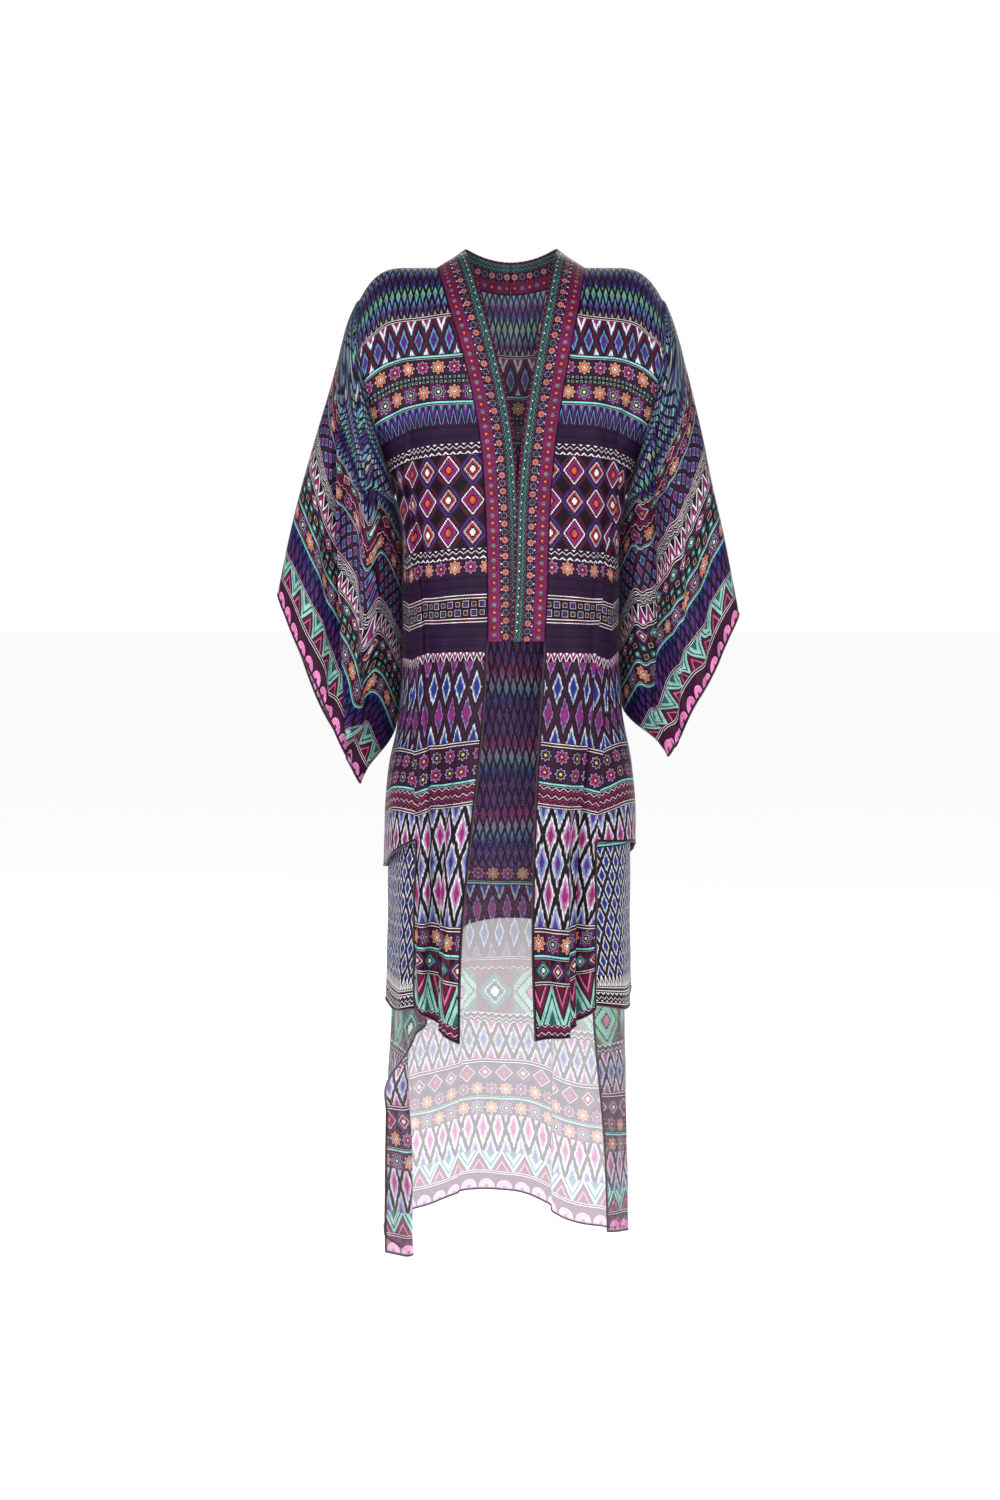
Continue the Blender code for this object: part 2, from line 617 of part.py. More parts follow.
def main():
    """Build every piece."""
    for piece in list(bpy.data.objects):
        bpy.data.objects.remove(piece, do_unlink=True)
    for side, name in ((-1, "right"), (1, "left")):
        cloth_wall("front_" + name, front_grid(side), WALL)
        cloth_wall("sleeve_" + name, sleeve_grid(side), WALL)
        cloth_wall("collar_" + name, band_grid(side), BAND_WALL)
    for layer in LAYERS:
        cloth_wall(layer.name, back_grid(layer), WALL)


main()
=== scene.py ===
"""Looks of an open kimono of printed silk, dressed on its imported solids.

Metres, +Z up, the front faces -Y and +X is the wearer's left. The origin is at shoulder height in
the middle of the shoulder line, and the drop of a point is how far it hangs below that line. Every
panel is a thin shell on the form of its solid, with finer creases, a procedural print on its own
cloth coordinates in metres, and narrow rolled hems on its free edges.
"""
from __future__ import annotations

import json
import logging
from collections.abc import Callable, Sequence
from dataclasses import dataclass, field, replace
from enum import Enum
from typing import NamedTuple, TypeVar

import bpy
import numpy as np
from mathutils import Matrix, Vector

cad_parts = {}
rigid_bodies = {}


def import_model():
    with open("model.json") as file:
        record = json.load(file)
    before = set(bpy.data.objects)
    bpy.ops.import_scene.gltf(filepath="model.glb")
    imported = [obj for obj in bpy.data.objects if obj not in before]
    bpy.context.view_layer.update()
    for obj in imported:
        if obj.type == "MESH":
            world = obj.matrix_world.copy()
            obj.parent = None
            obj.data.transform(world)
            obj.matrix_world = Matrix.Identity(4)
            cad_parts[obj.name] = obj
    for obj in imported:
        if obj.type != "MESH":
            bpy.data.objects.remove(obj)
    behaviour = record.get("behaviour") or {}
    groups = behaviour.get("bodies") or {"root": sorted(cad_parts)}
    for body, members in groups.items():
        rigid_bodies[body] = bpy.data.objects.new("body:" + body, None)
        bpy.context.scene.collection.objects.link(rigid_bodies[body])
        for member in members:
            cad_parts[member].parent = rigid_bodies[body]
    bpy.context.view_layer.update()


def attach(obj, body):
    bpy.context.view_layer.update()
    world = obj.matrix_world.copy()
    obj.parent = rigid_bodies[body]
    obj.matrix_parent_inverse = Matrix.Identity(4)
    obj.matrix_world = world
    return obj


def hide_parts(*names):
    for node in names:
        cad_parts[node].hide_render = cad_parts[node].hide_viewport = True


LOG = logging.getLogger("kimono")
CLOTH_UV = "cloth"
HEM_ATTRIBUTE = "hem"
UPRIGHT = np.array([0.0, 0.0, 1.0])
TINY = 1e-9
SEWN = 10.0
PLAIN_WHITE = (1.0, 1.0, 1.0, 1.0)

# A crease's fade along its length, a lap's reach in half widths, and the waves of the ripple
FADE_START = 0.15
FADE_SPAN = 0.75
FADE_POWER = 1.5
LAP_REACH = 2.6
RIPPLES = ((118.0, 21.0, 1.0), (67.0, -43.0, 2.1), (31.0, 74.0, 3.7))

Row = TypeVar("Row")
Array = np.ndarray
ArrayPair = tuple[np.ndarray, np.ndarray]
Pair = tuple[float, float]
Place = tuple[float, float, float]
Colour = tuple[float, float, float, float]
Socket = bpy.types.NodeSocket
Piece = bpy.types.Object


class Side(Enum):
    """Side of the wearer: the sign of X and the word used in names."""

    RIGHT = -1
    LEFT = 1

    @property
    def word(self) -> str:
        """Name of the side in piece names."""
        return self.name.lower()


class Face(Enum):
    """Front or back half of a sleeve: the sign of Y."""

    FRONT = -1
    BACK = 1


# Tables of the form


class Section(NamedTuple):
    """Hollow form at a drop: half width, depths to front and back, armhole half depth."""

    drop: float
    half_width: float
    front: float
    back: float
    arm: float


class Edge(NamedTuple):
    """Inner and outer edge of a front at a drop, as distances from the middle."""

    drop: float
    inner: float
    outer: float


class Fold(NamedTuple):
    """Long soft fold: place across at its start and end, where it starts and is full (a drop, or a
    level on a sleeve), its width and height, and its half of a sleeve."""

    start_across: float
    end_across: float
    start: float
    full: float
    width: float
    height: float
    face: Face = Face.FRONT


class Crease(NamedTuple):
    """Short crease from one place (across, drop) to another: half width and height in metres."""

    across: float
    drop: float
    to_across: float
    to_drop: float
    width: float
    height: float


class Hem(NamedTuple):
    """Drop of each layer's hem at a place across the back."""

    across: float
    back_outer: float
    back_middle: float
    back_long: float


class LayerEdge(NamedTuple):
    """Free front edges of a lower layer at a drop, as distances from the middle."""

    drop: float
    right: float
    left: float


class SleeveRow(NamedTuple):
    """Sleeve at a level: 0 at the shoulder, 1 at the underarm, 2 at the cuff."""

    level: float
    outer_x: float
    outer_z: float
    inner_x: float
    inner_z: float
    half_depth: float
    middle: float


class Pleat(NamedTuple):
    """Fold that laps over: its place across (in metres on a sleeve), where it starts and is full,
    its half width, the share of cloth that it hides and its height; a negative height laps the
    other way."""

    across: float
    start: float
    full: float
    width: float
    hidden: float
    height: float
    face: Face = Face.FRONT


class BandLean(NamedTuple):
    """How the neck band stands off its seam at a place along: inward, forward and up."""

    along: float
    inward: float
    forward: float
    up: float


class Turn(NamedTuple):
    """Rolled-back strip of the long layer: drops, place across, bend length and turn."""

    start_drop: float
    full_drop: float
    across: float
    bend: float
    degrees: float


def table(kind: type[Row], *rows: tuple) -> tuple[Row, ...]:
    """Rows of one kind."""
    return tuple(kind(*row) for row in rows)


SECTIONS = table(
    Section,
    (0.0, 0.205, 0.1, 0.084, 0.045), (0.05, 0.204, 0.106, 0.092, 0.066),
    (0.12, 0.2, 0.114, 0.1, 0.071), (0.2, 0.188, 0.123, 0.108, 0.054),
    (0.27, 0.17, 0.127, 0.112, 0.022), (0.31, 0.158, 0.128, 0.113, 0.0),
    (0.36, 0.149, 0.128, 0.113, 0.0), (0.45, 0.148, 0.128, 0.115, 0.0),
    (0.56, 0.15, 0.13, 0.12, 0.0), (0.61, 0.155, 0.13, 0.122, 0.0),
    (0.68, 0.169, 0.132, 0.126, 0.0), (0.72, 0.174, 0.133, 0.128, 0.0),
    (0.78, 0.176, 0.134, 0.131, 0.0), (0.9, 0.177, 0.135, 0.137, 0.0),
    (1.02, 0.18, 0.138, 0.142, 0.0), (1.2, 0.186, 0.14, 0.149, 0.0),
    (1.38, 0.188, 0.142, 0.155, 0.0),
)

EDGES = {
    Side.RIGHT: table(
        Edge,
        (0.0, 0.1, 0.205), (0.05, 0.086, 0.204), (0.124, 0.065, 0.2), (0.256, 0.04, 0.175),
        (0.31, 0.036, 0.158), (0.45, 0.032, 0.138), (0.507, 0.032, 0.136), (0.6, 0.036, 0.133),
        (0.79, 0.055, 0.128), (0.9, 0.064, 0.128), (1.07, 0.068, 0.128),
    ),
    Side.LEFT: table(
        Edge,
        (0.0, 0.1, 0.205), (0.05, 0.092, 0.204), (0.124, 0.078, 0.2), (0.256, 0.058, 0.175),
        (0.31, 0.053, 0.158), (0.45, 0.048, 0.138), (0.507, 0.045, 0.135), (0.6, 0.039, 0.128),
        (0.79, 0.03, 0.114), (0.9, 0.028, 0.111), (1.07, 0.033, 0.111),
    ),
}

# Drops of a front's hem at its inner edge, middle fold and outer edge
FRONT_HEMS = {Side.RIGHT: (1.044, 1.023, 0.996), Side.LEFT: (1.041, 1.033, 1.0)}

FRONT_FOLDS = {
    Side.RIGHT: table(
        Fold,
        (0.3, 0.16, 0.3, 0.95, 0.2, 0.011), (0.62, 0.5, 0.18, 0.9, 0.17, -0.01),
        (0.86, 0.8, 0.36, 1.0, 0.16, 0.008), (0.46, 0.34, 0.1, 0.6, 0.06, -0.0022),
        (0.74, 0.66, 0.12, 0.5, 0.05, 0.002), (0.2, 0.3, 0.66, 0.98, 0.05, -0.0026),
        (0.9, 0.92, 0.6, 0.95, 0.05, -0.0018),
    ),
    Side.LEFT: table(
        Fold,
        (0.18, 0.1, 0.52, 0.98, 0.14, -0.007), (0.34, 0.42, 0.3, 0.95, 0.16, 0.012),
        (0.64, 0.7, 0.18, 0.9, 0.16, -0.009), (0.88, 0.9, 0.4, 1.0, 0.14, 0.006),
        (0.5, 0.57, 0.1, 0.55, 0.05, -0.0024), (0.78, 0.8, 0.14, 0.6, 0.05, 0.002),
        (0.24, 0.26, 0.6, 0.96, 0.05, 0.0024),
    ),
}

FRONT_CREASES = {
    Side.RIGHT: table(
        Crease,
        (0.92, 0.06, 0.55, 0.19, 0.01, -0.0026), (0.97, 0.14, 0.62, 0.28, 0.011, -0.0028),
        (0.3, 0.11, 0.48, 0.3, 0.012, 0.002), (0.9, 0.3, 0.52, 0.39, 0.012, -0.0026),
        (0.95, 0.355, 0.66, 0.44, 0.009, 0.0018), (0.18, 0.48, 0.4, 0.56, 0.012, -0.0022),
        (0.8, 0.52, 0.55, 0.64, 0.012, 0.0022), (0.3, 0.64, 0.44, 0.8, 0.01, -0.0028),
        (0.7, 0.76, 0.62, 0.93, 0.01, -0.003), (0.14, 0.86, 0.24, 1.0, 0.009, 0.0026),
        (0.86, 0.9, 0.78, 0.99, 0.008, 0.0022),
    ),
    Side.LEFT: table(
        Crease,
        (0.9, 0.055, 0.6, 0.17, 0.01, -0.0026), (0.96, 0.15, 0.58, 0.27, 0.011, -0.0028),
        (0.34, 0.14, 0.46, 0.33, 0.012, 0.0022), (0.92, 0.31, 0.56, 0.41, 0.012, -0.0024),
        (0.88, 0.42, 0.6, 0.47, 0.009, 0.0018), (0.2, 0.5, 0.38, 0.6, 0.012, -0.0022),
        (0.78, 0.56, 0.52, 0.66, 0.012, 0.002), (0.52, 0.7, 0.58, 0.9, 0.01, -0.003),
        (0.16, 0.74, 0.22, 0.94, 0.009, 0.0024), (0.8, 0.82, 0.76, 0.98, 0.009, -0.0024),
        (0.36, 0.9, 0.34, 1.02, 0.008, 0.0024),
    ),
}

BACK_FOLDS = table(
    Fold,
    (-0.74, -0.72, 0.42, 1.0, 0.1, -0.006), (-0.46, -0.5, 0.2, 0.95, 0.11, 0.009),
    (-0.24, -0.28, 0.3, 1.0, 0.1, -0.01), (-0.05, -0.04, 0.12, 0.9, 0.11, 0.008),
    (0.16, 0.2, 0.3, 1.05, 0.1, -0.011), (0.4, 0.44, 0.2, 0.95, 0.11, 0.009),
    (0.7, 0.68, 0.42, 1.0, 0.1, -0.006), (-0.6, -0.61, 0.6, 1.1, 0.035, 0.0026),
    (-0.36, -0.39, 0.55, 1.1, 0.034, -0.003), (-0.14, -0.16, 0.4, 1.0, 0.034, 0.003),
    (0.06, 0.08, 0.45, 1.0, 0.034, -0.0032), (0.29, 0.33, 0.5, 1.1, 0.034, 0.003),
    (0.55, 0.56, 0.6, 1.1, 0.035, -0.0028), (0.8, 0.8, 0.8, 1.2, 0.03, 0.0024),
    (-0.84, -0.83, 0.8, 1.02, 0.03, 0.0022),
)

BACK_CREASES = table(
    Crease,
    (-0.7, 0.08, -0.35, 0.23, 0.013, -0.0026), (0.72, 0.075, 0.38, 0.22, 0.013, -0.0026),
    (-0.5, 0.06, -0.18, 0.15, 0.012, 0.002), (0.46, 0.065, 0.2, 0.17, 0.012, 0.0018),
    (-0.85, 0.28, -0.45, 0.36, 0.012, -0.0024), (0.84, 0.27, 0.48, 0.37, 0.012, -0.0024),
    (-0.3, 0.3, -0.08, 0.4, 0.014, 0.0022), (0.32, 0.32, 0.1, 0.42, 0.014, 0.002),
    (-0.8, 0.48, -0.55, 0.58, 0.012, -0.0018), (0.78, 0.5, 0.52, 0.6, 0.012, -0.0018),
    (-0.2, 0.56, -0.12, 0.74, 0.013, -0.0022), (0.26, 0.58, 0.3, 0.76, 0.013, -0.0022),
    (-0.52, 0.9, -0.56, 1.15, 0.013, -0.0026), (0.12, 0.96, 0.1, 1.24, 0.013, 0.0028),
    (0.6, 0.98, 0.63, 1.25, 0.013, -0.0026), (-0.1, 1.06, -0.12, 1.3, 0.011, -0.0026),
)

HEMS = table(
    Hem,
    (-1.0, 0.775, 1.004, 1.348), (-0.62, 0.826, 1.016, 1.346), (-0.3, 0.836, 0.958, 1.334),
    (0.0, 0.842, 0.918, 1.325), (0.2, 0.836, 0.936, 1.36), (0.42, 0.818, 0.988, 1.366),
    (0.62, 0.792, 1.014, 1.342), (1.0, 0.775, 0.998, 1.318),
)

MIDDLE_EDGES = table(
    LayerEdge,
    (0.43, 0.1385, 0.1385), (0.55, 0.132, 0.132), (0.79, 0.118, 0.106), (1.02, 0.115, 0.103),
)

LONG_EDGES = MIDDLE_EDGES[:3] + table(
    LayerEdge,
    (1.02, 0.115, 0.112), (1.2, 0.088, 0.128), (1.38, 0.083, 0.134),
)

LONG_TURN = Turn(1.03, 1.165, -0.831, 0.026, 168.0)

SLEEVES = {
    Side.RIGHT: table(
        SleeveRow,
        (0.0, 0.2105, -0.053, 0.16, -0.3115, 0.004, 0.0),
        (0.07, 0.219, -0.072, 0.16, -0.3115, 0.006, 0.0),
        (0.25, 0.231, -0.113, 0.16, -0.3115, 0.01, 0.0),
        (0.5, 0.244, -0.16, 0.16, -0.3115, 0.026, -0.001),
        (0.7, 0.256, -0.202, 0.16, -0.3115, 0.046, -0.002),
        (0.85, 0.266, -0.236, 0.16, -0.3115, 0.061, -0.003),
        (1.0, 0.2765, -0.272, 0.16, -0.3115, 0.066, -0.005),
        (1.4, 0.296, -0.345, 0.163, -0.47, 0.064, -0.012),
        (1.75, 0.309, -0.405, 0.168, -0.62, 0.057, -0.02),
        (2.0, 0.317, -0.446, 0.206, -0.705, 0.048, -0.026),
    ),
    Side.LEFT: table(
        SleeveRow,
        (0.0, 0.2105, -0.053, 0.16, -0.3115, 0.004, 0.0),
        (0.07, 0.218, -0.072, 0.16, -0.3115, 0.006, 0.0),
        (0.25, 0.231, -0.113, 0.16, -0.3115, 0.01, 0.0),
        (0.5, 0.245, -0.165, 0.16, -0.3115, 0.026, -0.001),
        (0.7, 0.256, -0.212, 0.16, -0.3115, 0.046, -0.002),
        (0.85, 0.2637, -0.248, 0.16, -0.3115, 0.061, -0.003),
        (1.0, 0.271, -0.285, 0.16, -0.3115, 0.066, -0.005),
        (1.4, 0.289, -0.364, 0.162, -0.45, 0.064, -0.012),
        (1.75, 0.302, -0.43, 0.166, -0.59, 0.057, -0.02),
        (2.0, 0.31, -0.472, 0.215, -0.668, 0.048, -0.026),
    ),
}

SLEEVE_FOLDS = {
    Side.RIGHT: table(
        Fold,
        (0.52, 0.5, 0.25, 1.1, 0.12, -0.022), (0.22, 0.24, 0.8, 1.6, 0.11, 0.01),
        (0.8, 0.78, 0.5, 1.5, 0.1, 0.008), (0.5, 0.42, 0.3, 1.3, 0.14, -0.016, Face.BACK),
        (0.37, 0.34, 0.3, 0.9, 0.04, 0.005), (0.67, 0.64, 0.4, 1.2, 0.036, -0.0045),
        (0.9, 0.88, 0.6, 1.3, 0.03, -0.003), (0.12, 0.13, 1.0, 1.6, 0.032, -0.0035),
        (0.7, 0.66, 0.4, 1.3, 0.05, 0.005, Face.BACK),
        (0.3, 0.25, 0.7, 1.5, 0.045, 0.0045, Face.BACK),
        (0.86, 0.84, 0.6, 1.4, 0.03, -0.003, Face.BACK),
    ),
    Side.LEFT: table(
        Fold,
        (0.3, 0.3, 0.25, 1.1, 0.12, -0.022), (0.6, 0.62, 0.5, 1.4, 0.12, 0.01),
        (0.82, 0.84, 0.8, 1.7, 0.1, -0.008), (0.46, 0.5, 0.3, 1.3, 0.14, -0.016, Face.BACK),
        (0.45, 0.46, 0.3, 1.0, 0.038, 0.0048), (0.72, 0.73, 0.5, 1.3, 0.034, -0.0042),
        (0.92, 0.92, 0.7, 1.4, 0.028, 0.0028), (0.16, 0.15, 0.9, 1.6, 0.034, 0.0036),
        (0.66, 0.7, 0.4, 1.3, 0.05, 0.005, Face.BACK),
        (0.26, 0.3, 0.7, 1.5, 0.045, 0.0045, Face.BACK),
        (0.86, 0.88, 0.6, 1.4, 0.03, -0.003, Face.BACK),
    ),
}

SLEEVE_PLEATS = {
    Side.RIGHT: table(
        Pleat,
        (0.229, 0.3, 0.95, 0.06, 0.19, 0.007), (0.262, 0.85, 1.5, 0.05, 0.06, -0.004),
        (0.196, 0.8, 1.4, 0.05, 0.07, -0.004),
        (0.235, 0.35, 1.1, 0.06, 0.15, -0.006, Face.BACK),
        (0.2, 0.8, 1.5, 0.05, 0.06, 0.004, Face.BACK),
    ),
    Side.LEFT: table(
        Pleat,
        (0.2, 0.35, 0.9, 0.06, 0.16, -0.0065), (0.238, 0.9, 1.5, 0.05, 0.06, 0.004),
        (0.27, 1.1, 1.8, 0.05, 0.05, -0.0035),
        (0.23, 0.35, 1.1, 0.06, 0.15, 0.006, Face.BACK),
        (0.195, 0.8, 1.5, 0.05, 0.06, -0.004, Face.BACK),
    ),
}

FRONT_PLEATS = {
    Side.RIGHT: table(
        Pleat,
        (0.4, 0.56, 0.96, 0.055, 0.11, 0.004), (0.7, 0.13, 0.33, 0.05, 0.085, -0.0042),
    ),
    Side.LEFT: table(
        Pleat,
        (0.45, 0.62, 0.98, 0.055, 0.12, 0.0042), (0.68, 0.12, 0.32, 0.05, 0.085, 0.0042),
    ),
}

BACK_PLEATS = table(
    Pleat,
    (-0.43, 0.3, 0.9, 0.024, 0.024, 0.002), (-0.14, 0.5, 1.05, 0.024, 0.026, -0.003),
    (0.12, 0.24, 0.85, 0.024, 0.03, 0.003), (0.41, 0.38, 0.95, 0.024, 0.03, -0.003),
)

BAND_LEANS = table(
    BandLean,
    (0.0, 0.0, 0.2, 0.98), (0.1, 0.42, 0.06, 0.86), (0.19, 0.86, -0.16, 0.5),
    (0.26, 0.96, -0.04, 0.28), (0.4, 0.995, 0.0, 0.1), (0.6, 1.0, 0.0, 0.05),
    (1.0, 1.0, 0.0, 0.0),
)


# Arithmetic of the surfaces


def smooth_step(low: float, high: float, value: Array | float) -> Array:
    """Rise from 0 at low to 1 at high with flat ends.

    Args:
        low: Where the rise starts.
        high: Where it ends.
        value: Places to work out.

    Returns:
        3 s squared less 2 s cubed of the clipped share s.
    """
    share = np.clip((np.asarray(value) - low) / (high - low), 0.0, 1.0)
    return share * share * (3.0 - 2.0 * share)


def follow(rows: Sequence[NamedTuple], column: str, place: Array) -> Array:
    """Smooth curve through one column of a table.

    Args:
        rows: Table rows in rising order of their first column.
        column: Name of the column to read.
        place: Values of the first column to read at.

    Returns:
        Cubic between rows, with the slopes of the table's own differences.
    """
    knots = np.array([row[0] for row in rows])
    values = np.array([getattr(row, column) for row in rows])
    slopes = np.gradient(values, knots)
    place = np.clip(np.asarray(place, dtype=float), knots[0], knots[-1])
    lower = np.clip(np.searchsorted(knots, place, side="right") - 1, 0, len(knots) - 2)
    span = knots[lower + 1] - knots[lower]
    t = (place - knots[lower]) / span
    rise = t * t * (3.0 - 2.0 * t)
    start = t * (1.0 - t) ** 2 * slopes[lower]
    end = t * t * (t - 1.0) * slopes[lower + 1]
    return values[lower] * (1.0 - rise) + values[lower + 1] * rise + span * (start + end)


def signed_power(value: Array, power: float) -> Array:
    """Power of the size of a value, with the value's sign."""
    return np.sign(value) * np.abs(value) ** power


def unit(vectors: Array) -> Array:
    """Vectors brought to a length of 1."""
    return vectors / np.maximum(np.linalg.norm(vectors, axis=-1, keepdims=True), TINY)


def grid_normals(points: Array) -> Array:
    """Unit normals of a grid: the column step crossed with the row step."""
    return unit(np.cross(np.gradient(points, axis=1), np.gradient(points, axis=0)))


def point_grid(*parts: Array) -> Array:
    """Parts of a place, spread over one grid and put side by side in a last axis."""
    return np.stack(np.broadcast_arrays(*parts), axis=-1)


def circle(aside: Array, over: Array, sides: int) -> ArrayPair:
    """Directions round a circle at each place, from two directions square to each other.

    Args:
        aside: First direction of each place.
        over: Second direction of each place.
        sides: Corners of the circle.

    Returns:
        Angles of the corners, and a direction for each place and corner.
    """
    angle = np.linspace(0.0, 2.0 * np.pi, sides, endpoint=False)
    return angle, aside[:, None] * np.cos(angle)[:, None] + over[:, None] * np.sin(angle)[:, None]


def ring_faces(tubes: int, rings: int, sides: int) -> list[list[int]]:
    """Faces of closed tubes: four corners between two rings, and a cap on each end.

    Args:
        tubes: How many tubes.
        rings: Rings of each, one after another.
        sides: Points of each ring.

    Returns:
        Point numbers of each face.
    """
    index = np.arange(tubes * rings * sides).reshape(tubes, rings, sides)
    turned = np.roll(index, -1, axis=2)
    walls = np.stack([index[:, :-1], turned[:, :-1], turned[:, 1:], index[:, 1:]], axis=-1)
    return walls.reshape(-1, 4).tolist() + index[:, 0, ::-1].tolist() + index[:, -1].tolist()


def run_length(points: Array, axis: int) -> Array:
    """Length of cloth from the first point of each row or column, summed step by step.

    Args:
        points: Grid of points.
        axis: 0 to go down columns, 1 to go along rows.

    Returns:
        Length up to each point.
    """
    steps = np.linalg.norm(np.diff(points, axis=axis), axis=2)
    widths = [(0, 0), (0, 0)]
    widths[axis] = (1, 0)
    return np.pad(np.cumsum(steps, axis=axis), widths)


def fold_height(
    folds: Sequence[Fold], across: Array, drop: Array, end: float | None = None
) -> Array:
    """Sum of long folds, each a bell across the cloth that grows with the drop.

    Args:
        folds: Table of folds.
        across: Share across the cloth.
        drop: Drop of each point, or its level on a sleeve.
        end: Where a fold reaches its end place, or None for where it is full.

    Returns:
        Height to move the cloth along its normal.
    """
    height = np.zeros(np.broadcast(across, drop).shape)
    for fold in folds:
        last = fold.full if end is None else end
        share = np.clip((drop - fold.start) / (last - fold.start), 0.0, 1.0)
        centre = fold.start_across + (fold.end_across - fold.start_across) * share
        bell = np.exp(-(((across - centre) / fold.width) ** 2))
        height = height + fold.height * smooth_step(fold.start, fold.full, drop) * bell
    return height


def crease_height(creases: Sequence[Crease], across: Array, drop: Array, width: float) -> Array:
    """Sum of short creases, each a bell about a line that fades out at both ends.

    Args:
        creases: Table of creases.
        across: Share across the cloth.
        drop: Drop of each point.
        width: Width of the cloth that a share of 1 stands for.

    Returns:
        Height to move the cloth along its normal.
    """
    height = np.zeros(np.broadcast(across, drop).shape)
    for crease in creases:
        line = np.array([(crease.to_across - crease.across) * width, crease.to_drop - crease.drop])
        long = np.hypot(*line)
        ahead = line / long
        x = (across - crease.across) * width
        y = drop - crease.drop
        along = np.clip((x * ahead[0] + y * ahead[1]) / long, 0.0, 1.0)
        off = np.hypot(x - along * line[0], y - along * line[1])
        fade = np.sin(np.pi * (FADE_START + FADE_SPAN * along)) ** FADE_POWER
        height = height + crease.height * fade * np.exp(-((off / crease.width) ** 2))
    return height


def lap(pleat: Pleat, offset: Array, spread: Array, grow: Array) -> ArrayPair:
    """One pleat: it draws cloth back over its own width by a smooth step, and the rest spreads.

    Args:
        pleat: The pleat.
        offset: Places from its middle, in its half widths.
        spread: Share of the whole run at each place.
        grow: Share to which the pleat is laid.

    Returns:
        Moves across, and the height that parts the laps.
    """
    step = smooth_step(-1.0, 1.0, offset)
    near = np.exp(-((offset / LAP_REACH) ** 2))
    return pleat.hidden * grow * (spread - step), pleat.height * grow * (1.0 - 2.0 * step) * near


def lapped(pleats: Sequence[Pleat], across: Array, drop: Array, span: float) -> ArrayPair:
    """Places across of cloth whose pleats lap over, and the height that parts the laps.

    Args:
        pleats: Table of pleats.
        across: Share across the cloth.
        drop: Drop of each point.
        span: Whole run of the share, 1 from edge to edge or 2 about the middle.

    Returns:
        Places across to shape the cloth at, and heights along its normal.
    """
    placed = across + 0.0 * drop
    height = np.zeros(placed.shape)
    low = 0.0 if span == 1.0 else -1.0
    for pleat in pleats:
        offset = (across - pleat.across) / pleat.width
        grow = smooth_step(pleat.start, pleat.full, drop)
        move, rise = lap(pleat, offset, (across - low) / span, grow)
        placed = placed + move
        height = height + rise
    return placed, height


def ripple(across: Array, along: Array, seed: float) -> Array:
    """Slight unevenness of hanging silk: three slow waves at odd angles, from -1 to 1.

    Args:
        across: Metres across the cloth.
        along: Metres along the cloth.
        seed: Shift that makes each panel differ.

    Returns:
        Mean of the waves.
    """
    waves = (np.sin(across * wide + along * long + shift * seed) for wide, long, shift in RIPPLES)
    return sum(waves) / len(RIPPLES)


# The hollow form


